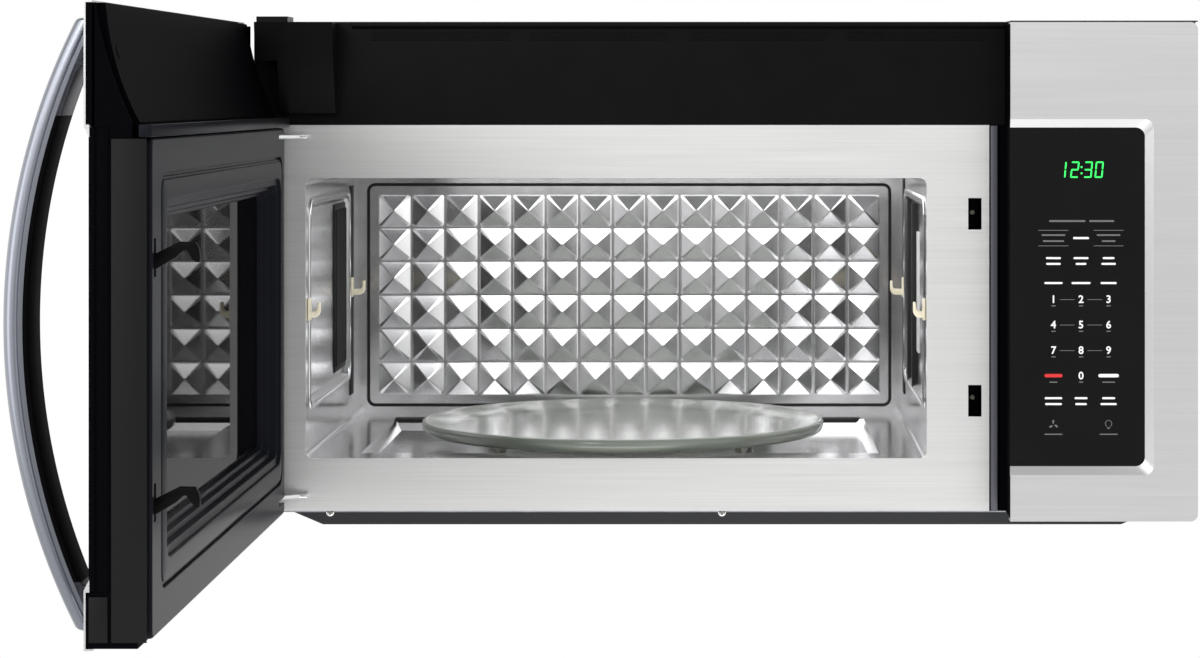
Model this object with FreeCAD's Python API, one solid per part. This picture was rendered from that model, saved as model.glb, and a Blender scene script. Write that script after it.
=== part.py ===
import FreeCAD, Part
import math
import os
from FreeCAD import Vector

# Over the range microwave with convection, its door standing open at a right angle.
# Millimetres. X runs to the right, Y into the wall, Z up. While the pieces are made, Y is the depth
# behind the stainless front plane and Z the height over the flat bottom; put_away() then brings the
# middle of the wall bolts, on the wall face, to the origin.

# ---- driving sizes: case ----
BODY_W = 759.0            # over the outside of the wrap
BODY_DEPTH = 415.0        # stainless front plane to wall face
CONTROL_W = 150.5         # right side to the middle of the gap beside the door
SPLIT_GAP = 2.0           # gap between door and control end
FRONT_BOTTOM = 8.6        # lower edge of door and fascia
FRONT_H = 398.2           # height of door and fascia
COVER_RISE = 1.2          # top cover over the front's upper edge
SHEET = 1.0               # case and cavity sheet steel
TOUCH = 0.3               # running clearance between pieces that move past each other
PAN_INSET = 31.5          # case side to the pan's sloped end
PAN_SLOPE = 24.0          # width of the sloped end
PAN_H = 10.2
PAN_FRONT = 46.0          # depth of the pan's front wall
PAN_REAR_GAP = 6.0
OPENING_R = 4.0
REAR_SPACE = 18.0         # cavity back to wall face
COVER_BOX_W = 62.6        # corner cover at the upper hinge
COVER_BOX_INSET = 4.9     # case side to its upper left edge
COVER_BOX_CLEAR = 3.0     # to the hollow of the closed door
COVER_BOX_WALL = 2.0
COVER_BOX_STEP = 13.0     # lower left notch, over the middle of the scoop
COVER_BOX_NOTCH = 17.6
COVER_BOX_LIFT = 2.0
TAB_W = 25.0
TAB_RISE = 3.5
GUIDE_WALL = 1.6          # air guide over the cavity
GUIDE_LIP = 5.0
GUIDE_LIP_START = 12.0
GUIDE_FOOT_H = 16.0
GUIDE_FOOT_D = 7.0
OUTLET_COUNT = 4
OUTLET_GAP = 16.0
OUTLET_LOW = 14.0
OUTLET_HIGH = 7.0

# ---- driving sizes: cavity ----
PLATE_DEPTH = 43.0        # face of the cavity front plate behind the front plane
PLATE_GAP = 12.3          # plate's right edge to the middle of the door gap
PLATE_LIFT = 1.1          # pan to plate
SILL = 42.6               # plate under the cavity mouth
HEAD_RAIL = 43.0          # plate over the cavity mouth
LEFT_RAIL = 41.8          # case side to the cavity mouth
RIGHT_RAIL = 50.7         # plate's right edge to the cavity mouth
CAV_CORNER_R = 6.0
WALL_INSET = 4.0          # depth of the embossed fields in the side walls
INSET_FRONT = 27.0        # plate to the embossed field
INSET_REAR = 64.0         # embossed field to the back panel
INSET_LOW = 42.1
INSET_HIGH = 23.2
SINK_SIDE_L = 40.7        # cavity wall to the sunken floor
SINK_SIDE_R = 37.0
SINK_FRONT_STEP = 36.0
SINK_REAR_STEP = 50.0
SINK_DEEP = 9.9
SINK_BEVEL = 6.0
PYRAMID_PITCH_X = 31.0
PYRAMID_PITCH_Z = 31.1
PYRAMID_RIB = 2.4         # flat rib between two pyramids
PYRAMID_H = 8.0
PYRAMID_EDGE_X = 15.0     # least flat border beside the field
PYRAMID_EDGE_Z = 18.0
PYRAMID_DROP = 3.85       # field's middle under the cavity's middle
GASKET_W = 2.7
GASKET_R = 5.0
GASKET_PROUD = 1.4
GASKET_MARGIN = 10.0      # pyramid field to the gasket's outer edge
CLIP_LIFT = 111.1         # cavity floor to the rack clips
CLIP_H = 18.0
CLIP_W = 12.0
CLIP_T = 3.0
CLIP_STEP = 2.0
CLIP_SHELF = 4.0
CLIP_FRONT = 14.0         # plate to the front clips
CLIP_REAR = 49.0          # back panel to the rear clips
CLIP_REACH_FRONT = 9.0
CLIP_REACH_REAR = 13.0
GRILLE_T = 1.2
GRILLE_L = 70.0
GRILLE_SLOTS = 12
GRILLE_EDGE = 8.0
GRILLE_SLOT_SHARE = 0.56
VENT_HOLE_R = 2.8
VENT_HOLE_PITCH = 9.0
VENT_RINGS = 3
APERTURE_HALF = 38.0      # hole behind the waveguide cover
APERTURE_LOW = 66.0
APERTURE_HIGH = 26.0
MICA_T = 0.8
MICA_HALF = 48.0
MICA_LOW = 110.0
MICA_HIGH = 6.0

# ---- driving sizes: turntable ----
TRAY_GAP = 2.5            # tray rim to the cavity's depth
TRAY_FORWARD = 0.5        # tray's middle before the cavity's middle
TRAY_SLOPE = 26.0         # width of the sloped rim
TRAY_T = 6.0
TRAY_RIM_RISE = 6.5
ROLLER_R = 5.7
ROLLER_W = 6.0
ROLLER_PIN_R = 1.6
ROLLER_COUNT = 3
RING_W = 6.0
RING_GAP = 3.0            # ring to rollers
RING_H = 3.6
COUPLER_R = 24.0
COUPLER_HUB_R = 7.0
COUPLER_ARM_W = 7.0
COUPLER_ARM_H = 4.2
COUPLER_ARMS = 3
DRIVE_SHAFT_R = 3.5
DRIVE_SHAFT_IN = 12.0     # shaft inside the motor
TURN_MOTOR_R = 26.0
TURN_MOTOR_H = 22.0
MOTOR_EAR = 12.0
MOTOR_EAR_W = 16.0

# ---- driving sizes: door ----
DOOR_T = 39.5             # front plane to the inner face of the choke cover
FRAME_BACK = 33.0         # back of the plastic frame
FRAME_GAP = 0.8           # frame and glass inside the skin's free edge
HINGE_INSET = 11.3        # case side to the hinge axis
HINGE_DEPTH = 22.2
DOOR_OPEN_DEG = 90.0      # how far the door stands open at rest
SKIN_T = 1.2
SKIN_RETURN = 5.5
SKIN_TOP_RETURN = 5.0
LIP_T = 3.5               # depth of the bevelled lip round the glass
LIP_BEVEL = 6.7
GLASS_T = 3.0
GLASS_OVER = 4.0          # glass hidden behind the lip
WINDOW_MARGIN = 41.9      # stainless at each end of the front
WINDOW_SILL = 43.7        # stainless under the glass
WINDOW_DROP = 9.3         # glass's upper edge under the scoop
WINDOW_R = 7.5
SKIN_CORNER_R = 6.0
SCOOP_EDGE = 6.8          # flat upper edge over the scoop
SCOOP_H = 68.0
SCOOP_MID_DROP = 37.0
SCOOP_END_T = (29.3, 16.5)          # end cap thickness at the bottom and middle of the scoop
SCOOP_MID_T = (32.6, 19.5, 12.2)    # scoop thickness at its bottom, middle and top
SCOOP_TOP_T = 7.5
END_CAP_W = 5.0
END_GROOVE_W = 4.0
END_GROOVE_DEEP = 2.5
LEDGE_H = 10.0            # frame ledge over the choke cover
LIGHTEN_WALL = 4.4
CORNER_RELIEF = 3.0
CHOKE_INSET_L = 6.2       # hinge axis to the choke cover
CHOKE_INSET_R = 1.7       # plate's right edge to the choke cover
CHOKE_LIFT = 4.4
CHOKE_CORNER_R = 5.0
VIEW_INSET_L = 1.7        # cavity mouth to the window of the choke cover
VIEW_INSET_R = 8.0
VIEW_INSET_LOW = 7.1
VIEW_INSET_HIGH = 4.2
VIEW_SLOPE = 9.0          # how far the window's walls lean in
VIEW_STEP = 10.0          # depth of the step in the window's walls
VIEW_R = 10.0
RING_WALL = 6.0           # wall round the window behind the cover
GROOVE_L = 12.0           # choke cover edge to the line groove
GROOVE_R = 31.0
GROOVE_LOW = 25.0
GROOVE_HIGH = 22.0
GROOVE_W = 2.4
GROOVE_DEEP = 0.9
GROOVE_CORNER_R = 12.0
POCKET_WALL = 2.0
POCKET_OVER = 10.0
SCREEN_T = 0.6
SCREEN_OVER = 8.0
INNER_GLASS_DEPTH = 22.0
PIN_R = 2.5
PIN_CLEAR = 0.05
PIN_L = 22.0
PIN_TRIM = 4.0            # shorter end that stays inside the door
ARM_T = 3.0               # hinge arm, 3 mm steel
ARM_EYE_R = 6.0
ARM_REACH = 30.2          # hinge axis to the foot
ARM_DROP = 7.0            # choke cover's upper edge to the upper arm
ARM_LIFT = 11.0           # choke cover's lower edge to the lower arm
FOOT_T = 1.8
FOOT_L = 26.0
FOOT_H = 10.0
HINGE_SCREW_X = 46.2
FOOT_SHIFT = 2.0          # arm to the screw in its foot
ARM_ROOM = 62.2           # slot in the door for the arm
LATCH_INSET = 11.6        # plate's right edge to the latch
LATCH_W = 5.0
LATCH_BAR_FRONT = 16.0
LATCH_BAR_BACK = 28.0
LATCH_TAIL = 6.0
HOOK_H = 11.0
HOOK_REACH = 28.0         # hook past the choke cover
HOOK_DROP = 6.0
HOOK_NOSE = 10.0
HOOK_RISE = 5.8           # hook's top over the middle of its slot
LATCH_TRAVEL = 4.2
LATCH_ROOM_LOW = 8.0      # pocket under the latch and over it
LATCH_ROOM_HIGH = 16.0
SLOT_W = 10.8
SLOT_H = 25.6
SLOT_DROP = 29.0          # cavity's top to the upper slot
SLOT_LIFT = 46.7          # cavity's bottom to the lower slot
BRACKET_MARGIN = 8.0      # latch bracket behind the closed hooks
BRACKET_SIDE = 11.1
BRACKET_END = 20.0
BRACKET_WALL = 3.5
SWITCH_W = 18.0
SWITCH_D = 16.0
SWITCH_H = 31.0
PLUNGER_IN = 9.0
PLUNGER_R = 1.8
HANDLE_INSET = 26.0       # door's free edge to the middle of the handle
HANDLE_W = 36.0
HANDLE_END = 10.6         # door's upper edge to the handle's end
HANDLE_RISE = 54.0        # door front to the top of the bow
HANDLE_T = 13.0
HANDLE_R = 415.0
HANDLE_FOOT = 42.0
HANDLE_EDGE_R = 4.5
HANDLE_SEAT = 8.5         # depth of the handle screws' heads in the door frame
HANDLE_SCREW_L = 6.0      # thread inside the handle

# ---- driving sizes: control end ----
FASCIA_RETURN = 14.0
HOUSING_BACK = 60.0
HOUSING_T = 1.8
FLANGE_GAP = 2.3
STRIP_W = 5.0
STRIP_PROUD = 1.0
STRIP_END = 3.0
BOARD_DEPTH = 15.0
BOARD_T = 1.6
BOSS_H = 4.0
BOSS_R = 3.0
BOSS_IN = 8.0
BOARD_EDGE = 6.0
BOARD_LIFT = 14.0
PART_GAP = 0.9            # glass to the parts on the board
MEMBRANE_T = 0.5
MEMBRANE_EDGE = 7.0
CLOCK_W = 49.0
CLOCK_H = 30.0
CLOCK_RIGHT = 26.6        # glass's right edge to the clock
CLOCK_DROP = 18.7         # glass's upper edge to the clock
RELAY_W = 22.0
RELAY_H = 18.0
RELAY_PITCH = 38.0
RELAY_COUNT = 3
BUZZER_R = 8.0
BUZZER_X = 70.0
BUZZER_Z = 64.0

# ---- driving sizes: inside ----
BLOWER_R = 52.0
BLOWER_WALL = 2.0
BLOWER_WHEEL_R = 44.0
BLADE_W = 7.0
BLADE_T = 1.2
BLOWER_BLADES = 20
BLOWER_SHAFT_R = 4.0
BLOWER_W = 60.0
BLOWER_SPARE = 12.0       # scroll wider than its wheel
SCROLL_FOOT = 30.0
BLOWER_REAR = 69.0        # blower's middle to the wall face
BLOWER_OFFSET = 92.0      # middle of the motor to the middle of a scroll
BLOWER_MOTOR_R = 36.0
BLOWER_MOTOR_L = 92.0
SADDLE_IN = 10.0
SADDLE_HALF = 26.0
FAN_R = 55.0              # convection fan
FAN_BLADES = 10
FAN_BLADE_H = 13.0
FAN_SHAFT_R = 3.0
FAN_HUB_R = 8.0
FAN_HUB_H = 10.0
FAN_LIFT = 5.0
FAN_PAN_H = 24.0
PAN_FLANGE = 8.0
FAN_MOTOR_R = 34.0
FAN_MOTOR_H = 42.0
FAN_SHAFT_IN = 20.0
HEATER_GAP = 17.0         # fan to heater ring
HEATER_WALL = 16.0        # heater ring to the pan's wall
HEATER_TUBE_R = 3.2
HEATER_LEAD_R = 2.4
HEATER_LIFT = 12.0
HEATER_LEAD_X = 12.0
COOL_SIDE = 75.5          # case side to the cooling fan's middle
COOL_DROP = 107.0
COOL_SIZE = 112.0
VENT_ROWS = 7             # slots in the rear plate behind the fan
VENT_SLOT_H = 6.0
VENT_SLOT_HALF = 42.0
COOL_T = 38.0
COOL_WHEEL_R = 48.0
COOL_BLADES = 7
COOL_HUB_R = 17.0
COOL_MOTOR_R = 15.0
COOL_MOTOR_L = 12.0
COOL_SPOKE = 4.0
COOL_SHAFT_R = 2.0
COOL_SHAFT_IN = 8.0
COOL_SPOKES = 3
COOL_TIP = 2.0            # wheel to the round opening
COOL_HUB_L = 14.0
COOL_BLADE_W = 18.0
COOL_BLADE_TURN = 52.0
MAG_REAR = 83.0           # end of the side wall's field to the magnetron's middle
MAG_DROP = 45.2
MAG_SIZE = 82.0
MAG_YOKE = 50.0
MAG_WALL = 4.0
MAG_FINS = 5
MAG_BOX_L = 18.0
MAG_BOX_HALF = 20.0
ANODE_R = 18.0
ANTENNA_R = 7.5
ANTENNA_GAP = 2.5
ANTENNA_SHORT = 4.0       # antenna ends before the far wall of the guide
GUIDE_T = 20.0
GUIDE_HALF = 42.0
GUIDE_LOW = 70.0
GUIDE_HIGH = 46.0
CORE_SIDE = 109.5         # case side to the transformer's middle
CORE_FRONT = 131.0
CORE_W = 92.0
CORE_D = 56.0
CORE_H = 78.0
COIL_W = 48.0
COIL_D = 88.0
COIL_IN = 9.0
CORE_FOOT_T = 3.0
CAP_SIDE = 89.5
CAP_REAR = 115.0
CAP_W = 64.0
CAP_D = 34.0
CAP_H = 88.0
CAP_TAB_X = 12.0
CAP_TAB_W = 6.0
CAP_TAB_T = 1.0
CAP_TAB_H = 8.0
COLLAR_W = 254.0          # 3 1/4 by 10 inch duct
COLLAR_D = 82.5
COLLAR_H = 13.5
COLLAR_T = 1.2
COLLAR_FLANGE = 8.0
FLAP_T = 1.2
FLAP_BARREL_R = 2.2
FLAP_PIN_R = 1.5
FLAP_EDGE = 5.0           # collar's front wall to the flap's axis
FLAP_DROP = 7.0
FLAP_GAP = 1.8
FILTER_W = 186.0
FILTER_D = 128.0
FILTER_T = 7.5
FILTER_RIM = 7.0
FILTER_R = 3.0
FILTER_STEP = 1.0
FILTER_X = 190.0
FILTER_REAR = 123.0
OPENING_SEAT = 5.0        # rim that carries a filter or a lamp
LAMP_W = 84.0
LAMP_D = 46.0
LAMP_FRONT = 74.0
LAMP_FLANGE_T = 2.0
LENS_H = 6.0
GLAND_SIDE = 61.5
GLAND_REAR = 43.0
GLAND_R = 8.0
GLAND_BORE_R = 4.5
GLAND_RIM = 4.0
GLAND_RIM_H = 2.0
GLAND_SLEEVE = 6.0
GLAND_NUT_H = 4.0
BULB_HOLDER = 24.0        # cavity lamp behind the side wall
BULB_R = 9.0
BULB_L = 26.0
BULB_DROP = 44.0
WALL_BOLT_R = 3.6
WALL_BOLT_X = 300.0
WALL_BOLT_LOW = 60.0
WALL_BOLT_PITCH = 300.0
TOP_BOLT_X = 254.0
TOP_BOLT_DEPTH = 210.0
TOP_BOLT_R = 3.4
SCREW_HEAD_R = 3.6
SCREW_HEAD_H = 2.0
FLAT_HEAD_H = 1.2         # low heads on the hinge feet, clear of the closed door
SCREW_R = 1.9
REAR_SCREW_X = 125.0
REAR_SCREW_LIFT = 12.0
HEAD_ROUND = 0.45         # rounding of a screw head, share of its height
HINGE_SCREW_L = 6.0
REAR_SCREW_EDGE = 9.0
FRONT_SCREW_EDGE = 6.0

# ---- worked out from the driving sizes ----
SIDE = BODY_W / 2.0
INNER_SIDE = SIDE - SHEET
SPLIT_X = SIDE - CONTROL_W
DOOR_RIGHT = SPLIT_X - SPLIT_GAP / 2.0
CONTROL_LEFT = SPLIT_X + SPLIT_GAP / 2.0
FRONT_TOP = FRONT_BOTTOM + FRONT_H
BODY_TOP = FRONT_TOP + COVER_RISE
TOP_UNDER = BODY_TOP - SHEET
PAN_HALF = SIDE - PAN_INSET
PAN_FLAT_HALF = PAN_HALF - PAN_SLOPE
BASE_TOP = PAN_H + SHEET
SCOOP_TOP_Z = FRONT_TOP - SCOOP_EDGE
SCOOP_MID_Z = SCOOP_TOP_Z - SCOOP_MID_DROP
SCOOP_BOTTOM = SCOOP_TOP_Z - SCOOP_H
CHOKE_TOP = SCOOP_BOTTOM - LEDGE_H
PLATE_TOP = CHOKE_TOP + 2.2
PLATE_RIGHT = SPLIT_X - PLATE_GAP
PLATE_BOTTOM = PAN_H + PLATE_LIFT
PLATE_BACK = PLATE_DEPTH + SHEET
CAV_LEFT = -SIDE + LEFT_RAIL
CAV_RIGHT = PLATE_RIGHT - RIGHT_RAIL
CAV_BOTTOM = PLATE_BOTTOM + SILL
CAV_TOP = PLATE_TOP - HEAD_RAIL
CAV_BACK = BODY_DEPTH - REAR_SPACE
CAV_DEPTH = CAV_BACK - PLATE_BACK
CAV_MID_X = (CAV_LEFT + CAV_RIGHT) / 2.0
CEILING = CAV_TOP + SHEET
WALL_X = (CAV_LEFT - WALL_INSET, CAV_RIGHT + WALL_INSET)
INSET_START = PLATE_BACK + INSET_FRONT
INSET_END = CAV_BACK - INSET_REAR
INSET_BOTTOM = CAV_BOTTOM + INSET_LOW
INSET_TOP = CAV_TOP - INSET_HIGH
SINK_LEFT = CAV_LEFT + SINK_SIDE_L
SINK_RIGHT = CAV_RIGHT - SINK_SIDE_R
SINK_FRONT = PLATE_BACK + SINK_FRONT_STEP
SINK_BACK = CAV_BACK - SINK_REAR_STEP
SINK_FLOOR = CAV_BOTTOM - SINK_DEEP
PYRAMID_COLS = int((CAV_RIGHT - CAV_LEFT - 2.0 * PYRAMID_EDGE_X) / PYRAMID_PITCH_X)
PYRAMID_ROWS = int((CAV_TOP - CAV_BOTTOM - 2.0 * PYRAMID_EDGE_Z) / PYRAMID_PITCH_Z)
PYRAMID_MID_Z = (CAV_BOTTOM + CAV_TOP) / 2.0 - PYRAMID_DROP
RAIL_Z = SINK_FLOOR + TOUCH + ROLLER_R
TRAY_BOTTOM = RAIL_Z + ROLLER_R + TOUCH
TRAY_DEPTH = PLATE_BACK + CAV_DEPTH / 2.0 - TRAY_FORWARD
TRAY_R = CAV_DEPTH / 2.0 - TRAY_GAP
TRAY_FLAT_R = TRAY_R - TRAY_SLOPE
ROLLER_CIRCLE_R = SINK_BACK - SINK_BEVEL - TRAY_DEPTH - ROLLER_W / 2.0
RING_R = ROLLER_CIRCLE_R - ROLLER_W / 2.0 - RING_GAP - RING_W / 2.0
WINDOW_LEFT = -SIDE + WINDOW_MARGIN
WINDOW_RIGHT = SIDE - WINDOW_MARGIN
WINDOW_BOTTOM = FRONT_BOTTOM + WINDOW_SILL
WINDOW_TOP = SCOOP_BOTTOM - WINDOW_DROP
GLASS_BACK = LIP_T + GLASS_T
HINGE_X = -SIDE + HINGE_INSET
CHOKE_LEFT = HINGE_X + CHOKE_INSET_L
CHOKE_RIGHT = PLATE_RIGHT - CHOKE_INSET_R
CHOKE_BOTTOM = FRONT_BOTTOM + CHOKE_LIFT
VIEW_LEFT = CAV_LEFT + VIEW_INSET_L
VIEW_RIGHT = CAV_RIGHT - VIEW_INSET_R
VIEW_BOTTOM = CAV_BOTTOM + VIEW_INSET_LOW
VIEW_TOP = CAV_TOP - VIEW_INSET_HIGH
COVER_BOX_LEFT = -SIDE + COVER_BOX_INSET
COVER_BOX_RIGHT = COVER_BOX_LEFT + COVER_BOX_W
ARM_END_X = HINGE_X + ARM_REACH
HINGE_ARMS = (CHOKE_TOP - ARM_DROP, CHOKE_BOTTOM + ARM_LIFT)
SLOT_MIDS = (CAV_TOP - SLOT_DROP, CAV_BOTTOM + SLOT_LIFT)
HOOK_TOPS = (SLOT_MIDS[0] + HOOK_RISE, SLOT_MIDS[1] + HOOK_RISE)
HOOK_END = DOOR_T + HOOK_REACH
BRACKET_BACK = HOOK_END + BRACKET_MARGIN
LATCH_X = PLATE_RIGHT - LATCH_INSET
LATCH_LEFT = LATCH_X - LATCH_W / 2.0
LATCH_RIGHT = LATCH_X + LATCH_W / 2.0
LATCH_LOW_END = HOOK_TOPS[1] - HOOK_H - LATCH_TAIL
HANDLE_X = DOOR_RIGHT - HANDLE_INSET
HANDLE_HALF = FRONT_H / 2.0 - HANDLE_END
HANDLE_MID_Z = FRONT_BOTTOM + FRONT_H / 2.0
BLOWER_DEPTH = BODY_DEPTH - BLOWER_REAR
COLLAR_DEPTH = BLOWER_DEPTH
BLOWER_Z = CEILING + BLOWER_R
HEATER_R = FAN_R + HEATER_GAP
FAN_PAN_R = HEATER_R + HEATER_WALL
FAN_PAN_TOP = CEILING + FAN_PAN_H
FAN_DEPTH = (PLATE_BACK + BLOWER_DEPTH - BLOWER_R) / 2.0
COOL_X = SIDE - COOL_SIDE
COOL_Z = TOP_UNDER - COOL_DROP
MAG_DEPTH = INSET_END - MAG_REAR
MAG_Z = CAV_TOP - MAG_DROP
FILTER_DEPTH = BODY_DEPTH - FILTER_REAR
LAMP_DEPTH = PAN_FRONT + LAMP_FRONT
GLAND_X = SIDE - GLAND_SIDE
GLAND_DEPTH = BODY_DEPTH - GLAND_REAR
FRONT_SCREWS = (-PAN_FLAT_HALF + FRONT_SCREW_EDGE, 0.0)
WALL_BOLT_ROWS = (WALL_BOLT_LOW, WALL_BOLT_LOW + WALL_BOLT_PITCH)
WALL_BOLTS = [(x, z) for x in (-WALL_BOLT_X, WALL_BOLT_X) for z in WALL_BOLT_ROWS]
ORIGIN_Z = WALL_BOLT_LOW + WALL_BOLT_PITCH / 2.0


# ---- small helpers ----
def box(x0, x1, y0, y1, z0, z1):
    return Part.makeBox(x1 - x0, y1 - y0, z1 - z0, Vector(x0, y0, z0))


def rod(r, length, x, y, z, axis="z"):
    way = {"x": Vector(1, 0, 0), "y": Vector(0, 1, 0), "z": Vector(0, 0, 1)}[axis]
    return Part.makeCylinder(r, length, Vector(x, y, z), way)


def tube(r_out, r_in, length, x, y, z, axis="z"):
    return rod(r_out, length, x, y, z, axis).cut(rod(r_in, length, x, y, z, axis))


def rounded_wire(x0, x1, z0, z1, y, radii):
    """Closed wire in a plane of constant depth; radii are left-low, right-low, right-high, left-high."""
    corners = [(x0, z0, 1, 1), (x1, z0, -1, 1), (x1, z1, -1, -1), (x0, z1, 1, -1)]
    points = []
    for (x, z, sx, sz), r in zip(corners, radii):
        flat = (1.0 - math.sqrt(0.5)) * r
        along_x = Vector(x + sx * r, y, z)
        along_z = Vector(x, y, z + sz * r)
        middle = Vector(x + sx * flat, y, z + sz * flat)
        first = along_z if sx == sz else along_x
        last = along_x if sx == sz else along_z
        points.append((first, middle, last, r))
    edges = []
    for i, (first, middle, last, r) in enumerate(points):
        if r > 0.0:
            edges.append(Part.Arc(first, middle, last).toShape())
        edges.append(Part.LineSegment(last, points[(i + 1) % 4][0]).toShape())
    return Part.Wire(edges)


def slab(x0, x1, y0, y1, z0, z1, radii):
    """Plate facing front, with rounded corners."""
    if not isinstance(radii, (tuple, list)):
        radii = (radii,) * 4
    return Part.Face(rounded_wire(x0, x1, z0, z1, y0, radii)).extrude(Vector(0, y1 - y0, 0))


def funnel(near, far, y0, y1, radii):
    """Bevelled opening between the outline near, at y0, and the outline far, at y1."""
    wires = [rounded_wire(*near, y0, radii), rounded_wire(*far, y1, radii)]
    return Part.makeLoft(wires, True, True)


def floor_slab(x0, x1, y0, y1, z0, z1, r):
    """Flat plate with rounded upright corners."""
    plate = box(x0, x1, y0, y1, z0, z1)
    upright = [e for e in plate.Edges if abs(e.BoundBox.ZLength - (z1 - z0)) < 1e-6]
    return plate.makeFillet(r, upright)


def prism_x(points, x0, x1):
    """Solid with the outline points, given as (depth, height), from x0 to x1."""
    wire = Part.makePolygon([Vector(x0, y, z) for y, z in points + points[:1]])
    return Part.Face(wire).extrude(Vector(x1 - x0, 0, 0))


def outline_face(edges):
    return Part.Face(Part.Wire(edges))


def line(a, b):
    return Part.LineSegment(Vector(*a), Vector(*b)).toShape()


def arc(a, b, c):
    return Part.Arc(Vector(*a), Vector(*b), Vector(*c)).toShape()


def fused(shapes):
    whole = shapes[0].multiFuse(shapes[1:]) if len(shapes) > 1 else shapes[0]
    return whole.removeSplitter()


def without(shape, cutters):
    for cutter in cutters:
        shape = shape.cut(cutter)
    return shape


def put_away(name, shape, on_door=False):
    """Bring a finished piece to its place in the part's frame and write it."""
    shape = shape.copy()
    if on_door:
        shape.rotate(Vector(HINGE_X, HINGE_DEPTH, 0), Vector(0, 0, 1), -DOOR_OPEN_DEG)
    shape.translate(Vector(0, -BODY_DEPTH, -ORIGIN_Z))
    shape.exportStep("parts/" + name + ".step")


def group(solids):
    return Part.makeCompound(solids)


def screw(x, y, z, axis, head_way, length, head_h=SCREW_HEAD_H):
    """Pan head screw; its head seats on the plane through x, y, z and stands up head_way (1 or -1)."""
    place = {"x": Vector(1, 0, 0), "y": Vector(0, 1, 0), "z": Vector(0, 0, 1)}[axis]
    seat = Vector(x, y, z)
    head = Part.makeCylinder(SCREW_HEAD_R, head_h, seat, place * head_way)
    rim = [e for e in head.Edges if len(e.Vertexes) == 1]
    far = max(rim, key=lambda e: (e.CenterOfMass - seat).Length)
    head = head.makeFillet(head_h * HEAD_ROUND, [far])
    shank = Part.makeCylinder(SCREW_R, length, seat, place * -head_way)
    return head.fuse(shank).removeSplitter()


# ---- case ----
def outer_wrap():
    top = box(-SIDE, SIDE, PLATE_DEPTH, BODY_DEPTH, TOP_UNDER, BODY_TOP)
    top_control = box(CONTROL_LEFT, SIDE, SKIN_T, PLATE_DEPTH, TOP_UNDER, BODY_TOP)
    left = box(-SIDE, -INNER_SIDE, PLATE_DEPTH, BODY_DEPTH, PAN_H, TOP_UNDER)
    right = box(INNER_SIDE, SIDE, FASCIA_RETURN, BODY_DEPTH, PAN_H, TOP_UNDER)
    wrap = fused([top, top_control, left, right])
    wide = COLLAR_W / 2.0
    deep = COLLAR_D / 2.0
    duct = box(-wide, wide, COLLAR_DEPTH - deep, COLLAR_DEPTH + deep, TOP_UNDER, BODY_TOP)
    gland = rod(GLAND_R + TOUCH, SHEET, GLAND_X, GLAND_DEPTH, TOP_UNDER)
    bolts = [rod(TOP_BOLT_R, SHEET, x, TOP_BOLT_DEPTH, TOP_UNDER) for x in (-TOP_BOLT_X, TOP_BOLT_X)]
    return without(wrap, [duct, gland] + bolts)


def rear_screw_places():
    rows = (BASE_TOP + REAR_SCREW_LIFT, TOP_UNDER - REAR_SCREW_EDGE)
    edge = INNER_SIDE - REAR_SCREW_EDGE
    return [(x, z) for x in (-edge, -REAR_SCREW_X, REAR_SCREW_X, edge) for z in rows]


def rear_plate():
    plate = box(-INNER_SIDE, INNER_SIDE, BODY_DEPTH - SHEET, BODY_DEPTH, BASE_TOP, TOP_UNDER)
    holes = [rod(WALL_BOLT_R, SHEET, x, BODY_DEPTH - SHEET, z, "y") for x, z in WALL_BOLTS]
    holes += [rod(SCREW_R, SHEET, x, BODY_DEPTH - SHEET, z, "y") for x, z in rear_screw_places()]
    pitch = COOL_SIZE / (VENT_ROWS + 1)
    high = VENT_SLOT_H / 2.0
    vents = []
    for i in range(VENT_ROWS):
        z = COOL_Z + (i - (VENT_ROWS - 1) / 2.0) * pitch
        vents.append(box(COOL_X - VENT_SLOT_HALF, COOL_X + VENT_SLOT_HALF, BODY_DEPTH - SHEET, BODY_DEPTH,
                         z - high, z + high))
    return without(plate, holes + vents)


def pan_openings():
    """Middle and half sizes of the filter and lamp openings in the bottom."""
    filters = []
    lamps = []
    for x in (-FILTER_X, FILTER_X):
        filters.append((x, FILTER_DEPTH, FILTER_W / 2.0 - OPENING_SEAT, FILTER_D / 2.0 - OPENING_SEAT))
        lamps.append((x, LAMP_DEPTH, LAMP_W / 2.0 - OPENING_SEAT, LAMP_D / 2.0 - OPENING_SEAT))
    return filters + lamps


def bottom_pan():
    def trough(inset, z_low, y0, y1):
        corners = [(-PAN_HALF + inset, PAN_H), (-PAN_FLAT_HALF + inset * 0.5, z_low),
                   (PAN_FLAT_HALF - inset * 0.5, z_low), (PAN_HALF - inset, PAN_H)]
        wire = Part.makePolygon([Vector(x, y0, z) for x, z in corners + corners[:1]])
        return Part.Face(wire).extrude(Vector(0, y1 - y0, 0))
    back = BODY_DEPTH - PAN_REAR_GAP
    pan = trough(0.0, 0.0, PAN_FRONT, back)
    pan = pan.cut(trough(2.0 * SHEET, SHEET, PAN_FRONT + SHEET, back - SHEET))
    holes = [rod(SCREW_R, SHEET, x, PAN_FRONT, PAN_H / 2.0, "y") for x in FRONT_SCREWS]
    for x, y, w, d in pan_openings():
        holes.append(floor_slab(x - w, x + w, y - d, y + d, -SHEET, 2.0 * SHEET, OPENING_R))
    return without(pan, holes)


def base_plate():
    plate = box(-INNER_SIDE, INNER_SIDE, PLATE_BACK, BODY_DEPTH, PAN_H, BASE_TOP)
    holes = [box(x - w, x + w, y - d, y + d, PAN_H, BASE_TOP) for x, y, w, d in pan_openings()[:2]]
    return without(plate, holes)


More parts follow.
